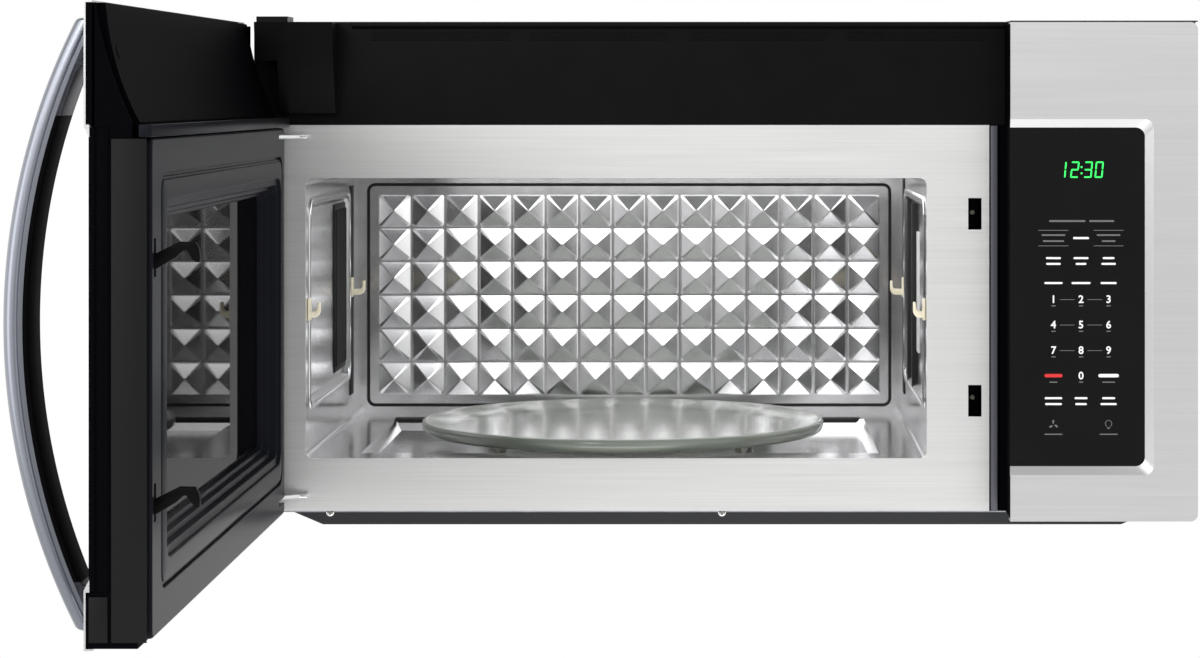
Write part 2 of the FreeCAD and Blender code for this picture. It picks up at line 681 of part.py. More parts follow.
def cavity_front_plate():
    plate = box(-INNER_SIDE, PLATE_RIGHT, PLATE_DEPTH, PLATE_BACK, PLATE_BOTTOM, PLATE_TOP)
    mouth = slab(CAV_LEFT, CAV_RIGHT, PLATE_DEPTH, PLATE_BACK, CAV_BOTTOM, CAV_TOP, CAV_CORNER_R)
    half_w = SLOT_W / 2.0
    slots = []
    for z in SLOT_MIDS:
        slots.append(box(LATCH_X - half_w, LATCH_X + half_w, PLATE_DEPTH, PLATE_BACK,
                         z - SLOT_H / 2.0, z + SLOT_H / 2.0))
    screws = [rod(SCREW_R + TOUCH, SHEET, x, PLATE_DEPTH, z, "y") for x, z in hinge_screw_places()]
    return without(plate, [mouth] + slots + screws)


def wall_field(side, outside):
    """Bevelled field pressed outward in a side wall; outside adds the sheet."""
    x_wall = CAV_LEFT if side == 0 else CAV_RIGHT
    way = -1.0 if side == 0 else 1.0
    grow = outside * SHEET
    lean = WALL_INSET
    near = [(INSET_START - grow, INSET_BOTTOM - grow), (INSET_END + grow, INSET_BOTTOM - grow),
            (INSET_END + grow, INSET_TOP + grow), (INSET_START - grow, INSET_TOP + grow)]
    signs = [(1, 1), (-1, 1), (-1, -1), (1, -1)]
    far = [(y + sy * lean, z + sz * lean) for (y, z), (sy, sz) in zip(near, signs)]
    wires = []
    for x, points in ((x_wall, near), (x_wall + way * (WALL_INSET + grow), far)):
        wires.append(Part.makePolygon([Vector(x, y, z) for y, z in points + points[:1]]))
    return Part.makeLoft(wires, True, True)


def floor_sink(outside):
    """Bevelled recess in the floor; outside adds the sheet."""
    grow = outside * SHEET
    wires = []
    for z, lean in ((CAV_BOTTOM, 0.0), (SINK_FLOOR - grow, SINK_BEVEL)):
        x0 = SINK_LEFT - grow + lean
        x1 = SINK_RIGHT + grow - lean
        y0 = SINK_FRONT - grow + lean
        y1 = SINK_BACK + grow - lean
        corners = [(x0, y0), (x1, y0), (x1, y1), (x0, y1), (x0, y0)]
        wires.append(Part.makePolygon([Vector(x, y, z) for x, y in corners]))
    return Part.makeLoft(wires, True, True)


def cavity_shell():
    outer = slab(CAV_LEFT - SHEET, CAV_RIGHT + SHEET, PLATE_BACK, CAV_BACK, CAV_BOTTOM - SHEET, CEILING,
                 CAV_CORNER_R + SHEET)
    outer = fused([outer, wall_field(0, 1), wall_field(1, 1), floor_sink(1)])
    inner = slab(CAV_LEFT, CAV_RIGHT, PLATE_BACK, CAV_BACK, CAV_BOTTOM, CAV_TOP, CAV_CORNER_R)
    shell = without(outer, [inner, wall_field(0, 0), wall_field(1, 0), floor_sink(0)])
    drive = rod(DRIVE_SHAFT_R + 1.0, SINK_DEEP + 2.0 * SHEET, CAV_MID_X, TRAY_DEPTH, SINK_FLOOR - 2.0 * SHEET)
    holes = [drive]
    for ring in range(1, VENT_RINGS + 1):
        count = 6 * ring
        for k in range(count):
            turn = 2.0 * math.pi * k / count
            x = CAV_MID_X + ring * VENT_HOLE_PITCH * math.cos(turn)
            y = FAN_DEPTH + ring * VENT_HOLE_PITCH * math.sin(turn)
            holes.append(rod(VENT_HOLE_R, 2.0 * SHEET, x, y, CAV_TOP - 0.5 * SHEET))
    aperture = box(CAV_RIGHT, CAV_RIGHT + WALL_INSET + 2.0 * SHEET, MAG_DEPTH - APERTURE_HALF,
                   MAG_DEPTH + APERTURE_HALF, MAG_Z - APERTURE_LOW, MAG_Z - APERTURE_HIGH)
    return without(shell, holes + [aperture])


def cavity_back_panel():
    """Sheet pressed into square pyramids whose points face the door."""
    x_mid = CAV_MID_X
    x0 = CAV_LEFT - SHEET
    x1 = CAV_RIGHT + SHEET
    z0 = CAV_BOTTOM - SHEET
    z1 = CEILING
    start_x = x_mid - PYRAMID_COLS * PYRAMID_PITCH_X / 2.0
    start_z = PYRAMID_MID_Z - PYRAMID_ROWS * PYRAMID_PITCH_Z / 2.0

    def facet(points):
        return Part.Face(Part.makePolygon([Vector(*p) for p in points + points[:1]]))

    def pressed(y):
        rim = Part.makePolygon([Vector(x0, y, z0), Vector(x1, y, z0), Vector(x1, y, z1), Vector(x0, y, z1),
                                Vector(x0, y, z0)])
        wires = [rim]
        sides = []
        for i in range(PYRAMID_COLS):
            for k in range(PYRAMID_ROWS):
                xa = start_x + i * PYRAMID_PITCH_X + PYRAMID_RIB / 2.0
                xb = start_x + (i + 1) * PYRAMID_PITCH_X - PYRAMID_RIB / 2.0
                za = start_z + k * PYRAMID_PITCH_Z + PYRAMID_RIB / 2.0
                zb = start_z + (k + 1) * PYRAMID_PITCH_Z - PYRAMID_RIB / 2.0
                foot = [(xa, y, za), (xb, y, za), (xb, y, zb), (xa, y, zb)]
                wires.append(Part.makePolygon([Vector(*p) for p in foot + foot[:1]]))
                tip = ((xa + xb) / 2.0, y - PYRAMID_H, (za + zb) / 2.0)
                sides += [facet([foot[j], foot[(j + 1) % 4], tip]) for j in range(4)]
        return [Part.Face(wires)] + sides

    faces = pressed(CAV_BACK) + pressed(CAV_BACK + SHEET)
    rim = [(x0, z0), (x1, z0), (x1, z1), (x0, z1)]
    for (xa, za), (xb, zb) in zip(rim, rim[1:] + rim[:1]):
        faces.append(facet([(xa, CAV_BACK, za), (xb, CAV_BACK, zb), (xb, CAV_BACK + SHEET, zb),
                            (xa, CAV_BACK + SHEET, za)]))
    shell = Part.Shell(faces)
    shell.sewShape()
    solid = Part.Solid(shell)
    solid.fix(1e-5, 1e-5, 1e-5)
    return solid


def back_panel_gasket():
    half_x = PYRAMID_COLS * PYRAMID_PITCH_X / 2.0 + GASKET_MARGIN
    half_z = PYRAMID_ROWS * PYRAMID_PITCH_Z / 2.0 + GASKET_MARGIN
    y0 = CAV_BACK - GASKET_PROUD
    outer = slab(CAV_MID_X - half_x, CAV_MID_X + half_x, y0, CAV_BACK, PYRAMID_MID_Z - half_z,
                 PYRAMID_MID_Z + half_z, GASKET_R + GASKET_W)
    half_x -= GASKET_W
    half_z -= GASKET_W
    inner = slab(CAV_MID_X - half_x, CAV_MID_X + half_x, y0, CAV_BACK, PYRAMID_MID_Z - half_z,
                 PYRAMID_MID_Z + half_z, GASKET_R)
    return outer.cut(inner)


def waveguide_cover():
    x1 = WALL_X[1]
    return box(x1 - MICA_T, x1, MAG_DEPTH - MICA_HALF, MAG_DEPTH + MICA_HALF, MAG_Z - MICA_LOW,
               MAG_Z - MICA_HIGH)


def side_wall_grille():
    x0 = WALL_X[0]
    y1 = INSET_END - GRILLE_EDGE
    y0 = y1 - GRILLE_L
    z0 = INSET_BOTTOM + GRILLE_EDGE
    z1 = INSET_TOP - 2.0 * GRILLE_EDGE
    plate = box(x0, x0 + GRILLE_T, y0, y1, z0, z1)
    slots = []
    step = (z1 - z0 - 2.0 * GRILLE_EDGE) / GRILLE_SLOTS
    half = step * GRILLE_SLOT_SHARE / 2.0
    for i in range(GRILLE_SLOTS):
        z = z0 + GRILLE_EDGE + (i + 0.5) * step
        slots.append(box(x0, x0 + GRILLE_T, y0 + GRILLE_EDGE, y1 - GRILLE_EDGE, z - half, z + half))
    return without(plate, slots)


def rack_clips():
    solids = []
    wide = CLIP_W / 2.0
    slim = wide - CLIP_STEP
    low = CAV_BOTTOM + CLIP_LIFT
    shelf_z = low + CLIP_SHELF + 1.0
    rows = ((PLATE_BACK + CLIP_FRONT, CLIP_REACH_FRONT), (CAV_BACK - CLIP_REAR, CLIP_REACH_REAR))
    for x_wall, way in ((CAV_LEFT, 1.0), (CAV_RIGHT, -1.0)):
        for y, reach in rows:
            xs = sorted((x_wall, x_wall + way * CLIP_T))
            base = box(xs[0], xs[1], y - wide, y + wide, low, low + CLIP_H)
            xs = sorted((x_wall, x_wall + way * reach))
            shelf = box(xs[0], xs[1], y - slim, y + slim, shelf_z, shelf_z + CLIP_SHELF)
            xs = sorted((x_wall + way * (reach - CLIP_T), x_wall + way * reach))
            lip = box(xs[0], xs[1], y - slim, y + slim, shelf_z, shelf_z + 2.0 * CLIP_SHELF)
            solids.append(fused([base, shelf, lip]))
    return group(solids)


def hinge_cover_box():
    """Hollow corner cover whose front follows the hollow of the closed door."""
    notch = COVER_BOX_LEFT + COVER_BOX_NOTCH
    bottom = SCOOP_BOTTOM + COVER_BOX_LIFT
    clear = COVER_BOX_CLEAR
    wall = COVER_BOX_WALL
    back = PLATE_BACK
    low, mid = SCOOP_END_T
    high = SCOOP_TOP_T - 1.5

    def body(inset, x0, x1, z0):
        z1 = TOP_UNDER - inset
        front_low = (x0, low + clear + inset, z0)
        front_mid = (x0, mid + clear + inset, SCOOP_MID_Z)
        front_high = (x0, high + clear + inset, z1)
        edges = [arc(front_low, front_mid, front_high), line(front_high, (x0, back, z1)),
                 line((x0, back, z1), (x0, back, z0)), line((x0, back, z0), front_low)]
        return outline_face(edges).extrude(Vector(x1 - x0, 0, 0))

    upper = body(0.0, COVER_BOX_LEFT, COVER_BOX_RIGHT, bottom)
    cut_low = box(COVER_BOX_LEFT, notch, 0.0, back, bottom, SCOOP_MID_Z + COVER_BOX_STEP)
    whole = upper.cut(cut_low)
    hollow = body(wall, notch + wall, COVER_BOX_RIGHT - wall, bottom + wall)
    whole = whole.cut(hollow)
    tab = box(COVER_BOX_LEFT + wall, COVER_BOX_LEFT + wall + TAB_W, high + clear, PLATE_DEPTH, TOP_UNDER,
              BODY_TOP + TAB_RISE)
    return whole.fuse(tab).removeSplitter()


def vent_recess_panel():
    """Smooth air guide above the cavity with four outlet slots under its lip."""
    x0 = -INNER_SIDE
    x1 = CONTROL_LEFT - TOUCH
    face = PLATE_BACK
    back = face + GUIDE_WALL
    under = TOP_UNDER - GUIDE_LIP
    panel = box(x0, x1, face, back, PLATE_TOP, TOP_UNDER)
    lip_left = COVER_BOX_RIGHT + GUIDE_LIP_START
    lip = prism_x([(face - GUIDE_LIP, TOP_UNDER), (face - GUIDE_LIP, TOP_UNDER - GUIDE_LIP / 2.0),
                   (face, under), (back, under), (back, TOP_UNDER)], lip_left, x1)
    foot = prism_x([(face, PLATE_TOP), (face, PLATE_TOP + GUIDE_FOOT_H), (face + GUIDE_FOOT_D, PLATE_TOP)],
                   x0, x1)
    panel = fused([panel, lip, foot])
    slots = []
    slot_left = lip_left + OUTLET_GAP
    pitch = (x1 - slot_left) / OUTLET_COUNT
    for i in range(OUTLET_COUNT):
        x = slot_left + i * pitch
        slots.append(box(x, x + pitch - OUTLET_GAP, face - GUIDE_LIP, face + 2.0 * GUIDE_WALL,
                         TOP_UNDER - OUTLET_LOW, TOP_UNDER - OUTLET_HIGH))
    return without(panel, slots)


# ---- control end ----
def bevel_cut(left, right, flip):
    """Bevelled window of the front; flip is 1 at the control end and -1 on the door."""
    grow = LIP_BEVEL
    over = SKIN_T
    if flip > 0:
        near = (left - over, right + grow, WINDOW_BOTTOM - grow, WINDOW_TOP + grow)
        far = (left - over, right, WINDOW_BOTTOM, WINDOW_TOP)
        radii = (0.0, WINDOW_R, WINDOW_R, 0.0)
    else:
        near = (left - grow, right + over, WINDOW_BOTTOM - grow, WINDOW_TOP + grow)
        far = (left, right + over, WINDOW_BOTTOM, WINDOW_TOP)
        radii = (WINDOW_R, 0.0, 0.0, WINDOW_R)
    return funnel(near, far, 0.0, LIP_T, radii)


def front_skin(x0, x1, flip, depth, top_depth):
    """Stainless pressing: face, returns at its outer edges and a bevelled lip round the glass."""
    r = SKIN_CORNER_R
    radii = (0.0, r, r, 0.0) if flip > 0 else (r, 0.0, 0.0, r)
    block = slab(x0, x1, 0.0, depth, FRONT_BOTTOM, FRONT_TOP, radii)
    t = SKIN_T
    keep = LIP_BEVEL + t
    left = x0 if flip > 0 else x0 + t
    right = x1 - t if flip > 0 else x1
    inner_radii = tuple(max(v - t, 0.0) for v in radii)
    hollow = slab(left, right, t, depth, FRONT_BOTTOM + t, FRONT_TOP - t, inner_radii)
    lip_left = x0 if flip > 0 else WINDOW_LEFT - keep
    lip_right = WINDOW_RIGHT + keep if flip > 0 else x1
    lip = box(lip_left, lip_right, t, LIP_T, WINDOW_BOTTOM - keep, WINDOW_TOP + keep)
    skin = block.cut(hollow.cut(lip))
    window_left = x0 if flip > 0 else WINDOW_LEFT
    window_right = WINDOW_RIGHT if flip > 0 else x1
    skin = skin.cut(bevel_cut(window_left, window_right, flip))
    if top_depth < depth:
        skin = skin.cut(box(x0, x1, top_depth, depth, SCOOP_BOTTOM, FRONT_TOP))
    return skin.removeSplitter()


def control_fascia():
    return front_skin(CONTROL_LEFT, SIDE, 1, FASCIA_RETURN, FASCIA_RETURN)


def control_glass():
    over = GLASS_OVER
    return slab(CONTROL_LEFT, WINDOW_RIGHT + over, LIP_T, GLASS_BACK, WINDOW_BOTTOM - over, WINDOW_TOP + over,
                (0.0, over, over, 0.0))


def control_housing():
    t = HOUSING_T
    x0 = CONTROL_LEFT
    x1 = INNER_SIDE
    z0 = BASE_TOP
    z1 = FRONT_TOP - SKIN_T
    left = box(x0, x0 + t, GLASS_BACK, HOUSING_BACK, z0, z1)
    shelf_y = BOARD_DEPTH + BOARD_T + BOSS_H
    shelf = box(x0, x1, shelf_y, shelf_y + t, z0, z1)
    flange_x = PLATE_RIGHT + FLANGE_GAP
    flange = box(flange_x, x0, PLATE_BACK, PLATE_BACK + t, z0, PLATE_TOP - TOUCH)
    strip = box(flange_x, flange_x + STRIP_W, PLATE_DEPTH - STRIP_PROUD, PLATE_BACK,
                PLATE_BOTTOM + STRIP_END, PLATE_TOP - STRIP_END)
    floor = box(x0, x1, FASCIA_RETURN, HOUSING_BACK, z0, z0 + t)
    bosses = []
    for x in (CONTROL_LEFT + BOARD_EDGE + BOSS_IN, WINDOW_RIGHT - BOARD_EDGE - BOSS_IN):
        for z in (WINDOW_BOTTOM + BOARD_LIFT + BOSS_IN, WINDOW_TOP - BOARD_EDGE - BOSS_IN):
            bosses.append(rod(BOSS_R, BOSS_H, x, BOARD_DEPTH + BOARD_T, z, "y"))
    return fused([left, shelf, flange, strip, floor] + bosses)


def touch_membrane():
    return box(CONTROL_LEFT + MEMBRANE_EDGE, WINDOW_RIGHT - MEMBRANE_EDGE, GLASS_BACK,
               GLASS_BACK + MEMBRANE_T, WINDOW_BOTTOM + MEMBRANE_EDGE, WINDOW_TOP - MEMBRANE_EDGE)


def clock_display():
    x1 = WINDOW_RIGHT - CLOCK_RIGHT
    z1 = WINDOW_TOP - CLOCK_DROP
    return box(x1 - CLOCK_W, x1, GLASS_BACK + MEMBRANE_T, BOARD_DEPTH, z1 - CLOCK_H, z1)


def control_board():
    """Board with its relays and buzzer on the front."""
    left = CONTROL_LEFT + BOARD_EDGE
    low = WINDOW_BOTTOM + BOARD_LIFT
    solids = [box(left, WINDOW_RIGHT - BOARD_EDGE, BOARD_DEPTH, BOARD_DEPTH + BOARD_T, low,
                  WINDOW_TOP - BOARD_EDGE)]
    front = GLASS_BACK + MEMBRANE_T + PART_GAP
    for i in range(RELAY_COUNT):
        x = left + RELAY_W
        z = low + (i + 1) * RELAY_PITCH
        solids.append(box(x, x + RELAY_W, front, BOARD_DEPTH, z, z + RELAY_H))
    solids.append(rod(BUZZER_R, BOARD_DEPTH - front, left + BUZZER_X, front, low + BUZZER_Z, "y"))
    return group(solids)


# ---- latching ----
def latch_bracket():
    left = LATCH_X - BRACKET_SIDE
    block = box(left, PLATE_RIGHT - 1.0, PLATE_BACK, BRACKET_BACK, SLOT_MIDS[1] - BRACKET_END,
                SLOT_MIDS[0] + BRACKET_END)
    cuts = []
    for z in SLOT_MIDS:
        cuts.append(box(LATCH_X - SLOT_W / 2.0, LATCH_X + SLOT_W / 2.0, PLATE_BACK, BRACKET_BACK,
                        z - SLOT_H / 2.0, z + SLOT_H / 2.0))
    cuts.append(box(left, PLATE_RIGHT - BRACKET_WALL, PLATE_BACK + BRACKET_WALL, BRACKET_BACK,
                    SLOT_MIDS[1] + BRACKET_END, SLOT_MIDS[0] - BRACKET_END))
    return without(block, cuts)


def switch_heights():
    return [top - HOOK_H / 2.0 for top in HOOK_TOPS]


def interlock_switches():
    solids = []
    for z in switch_heights():
        body = box(LATCH_X - SWITCH_W / 2.0, LATCH_X + SWITCH_W / 2.0, BRACKET_BACK, BRACKET_BACK + SWITCH_D,
                   z - SWITCH_H / 2.0, z + SWITCH_H / 2.0)
        solids.append(body.cut(rod(PLUNGER_R + TOUCH, SWITCH_D * 0.75, LATCH_X, BRACKET_BACK, z, "y")))
    return group(solids)


def switch_plunger(z):
    start = HOOK_END + 2.0 * TOUCH
    return rod(PLUNGER_R, BRACKET_BACK + PLUNGER_IN - start, LATCH_X, start, z, "y")


# ---- hinges ----
def hinge_screw_places():
    return [(HINGE_X + HINGE_SCREW_X, z + dz) for z, dz in zip(HINGE_ARMS, (-FOOT_SHIFT, FOOT_SHIFT))]


def hinge_brackets():
    """Two steel arms, each with its pin."""
    solids = []
    elbow = HINGE_X + 2.0 * ARM_EYE_R
    front = HINGE_DEPTH - ARM_EYE_R
    back = HINGE_DEPTH + ARM_EYE_R
    for (x, screw_z), z in zip(hinge_screw_places(), HINGE_ARMS):
        z0 = z - ARM_T / 2.0
        edges = [line((HINGE_X, front, z0), (ARM_END_X, PLATE_DEPTH - ARM_T, z0)),
                 line((ARM_END_X, PLATE_DEPTH - ARM_T, z0), (ARM_END_X, PLATE_DEPTH, z0)),
                 line((ARM_END_X, PLATE_DEPTH, z0), (elbow, PLATE_DEPTH, z0)),
                 line((elbow, PLATE_DEPTH, z0), (HINGE_X, back, z0)),
                 arc((HINGE_X, back, z0), (HINGE_X - ARM_EYE_R, HINGE_DEPTH, z0), (HINGE_X, front, z0))]
        arm = outline_face(edges).extrude(Vector(0, 0, ARM_T))
        foot_low = (z + screw_z) / 2.0 - FOOT_H / 2.0
        foot = box(ARM_END_X - FOOT_T, ARM_END_X - FOOT_T + FOOT_L, PLATE_DEPTH - FOOT_T, PLATE_DEPTH,
                   foot_low, foot_low + FOOT_H)
        bracket = arm.fuse(foot).removeSplitter()
        bracket = bracket.cut(rod(PIN_R, ARM_T * 3.0, HINGE_X, HINGE_DEPTH, z - ARM_T * 1.5))
        solids.append(bracket)
    for solid, (x, z) in zip(range(2), hinge_screw_places()):
        solids[solid] = solids[solid].cut(rod(SCREW_R + TOUCH, ARM_T, x, PLATE_DEPTH - ARM_T, z, "y"))
    return group(solids + hinge_pins())


def pin_spans():
    """Lower and upper end of each hinge pin."""
    high, low = HINGE_ARMS
    half = PIN_L / 2.0
    return [(high - half, high + half - PIN_TRIM), (low - half + PIN_TRIM, low + half)]


def hinge_pins():
    return [rod(PIN_R, z1 - z0, HINGE_X, HINGE_DEPTH, z0) for z0, z1 in pin_spans()]


def hinge_room(shape):
    """Room in a door piece for the hinge arms over the whole travel, and the pins' bores."""
    for z in HINGE_ARMS:
        gap = ARM_T / 2.0 + TOUCH
        shape = shape.cut(box(-SIDE - 1.0, HINGE_X + ARM_ROOM, HINGE_DEPTH - ARM_EYE_R - 1.5, DOOR_T + 1.0,
                              z - gap, z + gap))
    for z0, z1 in pin_spans():
        shape = shape.cut(rod(PIN_R + PIN_CLEAR, z1 - z0 + 1.0, HINGE_X, HINGE_DEPTH, z0 - 0.5))
    return shape


# ---- door ----
def door_skin():
    skin = front_skin(-SIDE, DOOR_RIGHT, -1, SKIN_RETURN, SKIN_TOP_RETURN)
    return without(skin, handle_screw_holes())


def door_glass_outer():
    over = GLASS_OVER
    return slab(WINDOW_LEFT - over, DOOR_RIGHT - FRAME_GAP, LIP_T, GLASS_BACK, WINDOW_BOTTOM - over,
                WINDOW_TOP + over, (over, 0.0, 0.0, over))


def scoop(x0, x1, thick, front):
    """Hollowed top part of the door between two ends."""
    low, mid, high = thick
    top = FRONT_TOP - SKIN_T
    ledge = SCOOP_BOTTOM - LEDGE_H
    edges = [line((x0, front, ledge), (x0, front, top)), line((x0, front, top), (x0, high - FRAME_GAP, top)),
             line((x0, high - FRAME_GAP, top), (x0, high, SCOOP_TOP_Z)),
             arc((x0, high, SCOOP_TOP_Z), (x0, mid, SCOOP_MID_Z), (x0, low, SCOOP_BOTTOM)),
             line((x0, low, SCOOP_BOTTOM), (x0, low, ledge)), line((x0, low, ledge), (x0, front, ledge))]
    return outline_face(edges).extrude(Vector(x1 - x0, 0, 0))


def door_frame():
    left = -SIDE + SKIN_T
    right = DOOR_RIGHT - FRAME_GAP
    bottom = FRONT_BOTTOM + SKIN_T
    top = SCOOP_BOTTOM - LEDGE_H
    body = box(left, right, GLASS_BACK, FRAME_BACK, bottom, top)
    keep = LIP_BEVEL + SKIN_T + TOUCH
    low_band = box(left, right, SKIN_T, GLASS_BACK, bottom, WINDOW_BOTTOM - keep)
    side_band = box(left, WINDOW_LEFT - keep, SKIN_T, GLASS_BACK, bottom, FRONT_TOP - 2.0 * SKIN_CORNER_R)
    end_profile = SCOOP_END_T + (SCOOP_TOP_T,)
    end_x = COVER_BOX_RIGHT + COVER_BOX_CLEAR * 3.0
    end_hinge = scoop(left, end_x, end_profile, GLASS_BACK)
    cap_x = right - END_CAP_W
    middle = scoop(end_x, cap_x - END_GROOVE_W, SCOOP_MID_T, GLASS_BACK)
    shallow = tuple(t - END_GROOVE_DEEP for t in SCOOP_END_T) + (SCOOP_TOP_T,)
    groove = scoop(cap_x - END_GROOVE_W, cap_x, shallow, GLASS_BACK)
    end_free = scoop(cap_x, right, end_profile, GLASS_BACK)
    top_band = box(left, right, SKIN_T, SKIN_TOP_RETURN, WINDOW_TOP + keep, FRONT_TOP - SKIN_T)
    frame = fused([body, low_band, side_band, end_hinge, middle, groove, end_free, top_band])
    pocket_x = (VIEW_LEFT - POCKET_OVER, LATCH_LEFT - POCKET_OVER)
    pocket_y = GLASS_BACK + POCKET_WALL
    pocket = box(pocket_x[0], pocket_x[1], pocket_y, FRAME_BACK, VIEW_BOTTOM - 2.0 * POCKET_OVER,
                 VIEW_TOP + 2.0 * POCKET_OVER)
    view = box(VIEW_LEFT + VIEW_SLOPE, VIEW_RIGHT - VIEW_SLOPE, GLASS_BACK, FRAME_BACK,
               VIEW_BOTTOM + VIEW_SLOPE, VIEW_TOP - VIEW_SLOPE)
    latch = box(LATCH_LEFT - TOUCH, LATCH_RIGHT + TOUCH, LATCH_BAR_FRONT - TOUCH, FRAME_BACK,
                LATCH_LOW_END - LATCH_ROOM_LOW, HOOK_TOPS[0] + LATCH_ROOM_HIGH)
    lighten = box(pocket_x[0], pocket_x[1], pocket_y, FRAME_BACK - LIGHTEN_WALL, bottom + LIGHTEN_WALL,
                  VIEW_BOTTOM - 2.0 * POCKET_OVER - LIGHTEN_WALL)
    corner = box(left, left + CORNER_RELIEF, FRAME_BACK - 1.0, DOOR_T, bottom, top)
    heads = [rod(SCREW_HEAD_R + TOUCH, DOOR_T, HANDLE_X, HANDLE_SEAT, z, "y") for z in handle_screw_places()]
    r = SKIN_CORNER_R
    outline = slab(-SIDE, DOOR_RIGHT, 0.0, DOOR_T, FRONT_BOTTOM, FRONT_TOP, (r, 0.0, 0.0, r))
    frame = without(frame, [pocket, view, latch, lighten, corner, door_skin()] + handle_screw_holes() + heads)
    return hinge_room(frame.common(outline))


def choke_cover():
    plate = slab(CHOKE_LEFT, CHOKE_RIGHT, FRAME_BACK, DOOR_T, CHOKE_BOTTOM, CHOKE_TOP, CHOKE_CORNER_R)
    front = INNER_GLASS_DEPTH

    def view(lean):
        return VIEW_LEFT + lean, VIEW_RIGHT - lean, VIEW_BOTTOM + lean, VIEW_TOP - lean

    def groove(inset):
        x0 = CHOKE_LEFT + GROOVE_L + inset
        x1 = CHOKE_RIGHT - GROOVE_R - inset
        z0 = CHOKE_BOTTOM + GROOVE_LOW + inset
        z1 = CHOKE_TOP - GROOVE_HIGH - inset
        return slab(x0, x1, DOOR_T - GROOVE_DEEP, DOOR_T, z0, z1, GROOVE_CORNER_R - inset)

    x0, x1, z0, z1 = view(-RING_WALL)
    cover = plate.fuse(slab(x0, x1, front, FRAME_BACK, z0, z1, VIEW_R))
    radii = (VIEW_R,) * 4
    step = DOOR_T - VIEW_STEP
    cover = cover.cut(funnel(view(VIEW_SLOPE * 0.4), view(0.0), step, DOOR_T, radii))
    cover = cover.cut(funnel(view(VIEW_SLOPE), view(VIEW_SLOPE * 0.7), front, step, radii))
    cover = cover.cut(groove(0.0).cut(groove(GROOVE_W)))
    for top in HOOK_TOPS:
        cover = cover.cut(box(LATCH_LEFT - 1.0, LATCH_RIGHT + 1.0, FRAME_BACK, DOOR_T,
                              top - HOOK_H - HOOK_DROP - LATCH_TRAVEL - 1.0, top + 1.0))
    return hinge_room(cover).removeSplitter()


def door_screen():
    y0 = GLASS_BACK + POCKET_WALL
    over = SCREEN_OVER
    return box(VIEW_LEFT - over, VIEW_RIGHT + over, y0, y0 + SCREEN_T, VIEW_BOTTOM - over, VIEW_TOP + over)


def door_glass_inner():
    over = GLASS_OVER
    return box(VIEW_LEFT - over, VIEW_RIGHT + over, INNER_GLASS_DEPTH - GLASS_T, INNER_GLASS_DEPTH,
               VIEW_BOTTOM - over, VIEW_TOP + over)


def handle_screw_places():
    return [HANDLE_MID_Z + side * (HANDLE_HALF - HANDLE_FOOT * 0.5) for side in (-1, 1)]


def handle_screw_holes():
    return [rod(SCREW_R + TOUCH, DOOR_T, HANDLE_X, 0.0, z, "y") for z in handle_screw_places()]


def door_handle():
    """Bowed grip: outer and inner arcs of one centre, with a solid foot at each end."""
    x0 = HANDLE_X - HANDLE_W / 2.0
    mid = HANDLE_MID_Z

    def rise(radius, dz):
        return HANDLE_RISE - HANDLE_R + math.sqrt(radius * radius - dz * dz)

    def bow(radius, half):
        end = -rise(radius, half)
        return arc((x0, end, mid - half), (x0, -rise(radius, 0.0), mid), (x0, end, mid + half)), end

    outer, y_end = bow(HANDLE_R, HANDLE_HALF)
    low = mid - HANDLE_HALF
    high = mid + HANDLE_HALF
    edges = [outer, line((x0, y_end, high), (x0, 0.0, high)), line((x0, 0.0, high), (x0, 0.0, low)),
             line((x0, 0.0, low), (x0, y_end, low))]
    solid = outline_face(edges).extrude(Vector(HANDLE_W, 0, 0))
    reach = HANDLE_HALF - HANDLE_FOOT
    inner, y_in = bow(HANDLE_R - HANDLE_T, reach)
    over = 1.0
    gap_edges = [inner, line((x0, y_in, mid + reach), (x0, over, mid + reach)),
                 line((x0, over, mid + reach), (x0, over, mid - reach)),
                 line((x0, over, mid - reach), (x0, y_in, mid - reach))]
    solid = solid.cut(outline_face(gap_edges).extrude(Vector(HANDLE_W, 0, 0)))
    long_edges = [e for e in solid.Edges if e.Curve.TypeId == "Part::GeomCircle" and e.Length > HANDLE_HALF]
    solid = solid.makeFillet(HANDLE_EDGE_R, long_edges)
    deep = HANDLE_SCREW_L + 1.0
    return without(solid, [rod(SCREW_R, deep, HANDLE_X, -deep, z, "y") for z in handle_screw_places()])


def handle_screws():
    solids = []
    for z in handle_screw_places():
        solids.append(screw(HANDLE_X, HANDLE_SEAT, z, "y", 1, HANDLE_SEAT + HANDLE_SCREW_L))
    return group(solids)


def door_latch():
    bar = box(LATCH_LEFT, LATCH_RIGHT, LATCH_BAR_FRONT, LATCH_BAR_BACK, LATCH_LOW_END, HOOK_TOPS[0])
    parts = [bar]
    root = (LATCH_BAR_FRONT + LATCH_BAR_BACK) / 2.0
    nose = HOOK_END - HOOK_NOSE
    for top in HOOK_TOPS:
        low = top - HOOK_H
        drop = low - HOOK_DROP
        points = [(root, top), (nose, top), (HOOK_END, top - HOOK_DROP), (HOOK_END, low - 1.0),
                  (HOOK_END - HOOK_DROP, drop), (nose, drop), (nose, low), (root, low)]
        parts.append(prism_x(points, LATCH_LEFT, LATCH_RIGHT))
    return fused(parts)


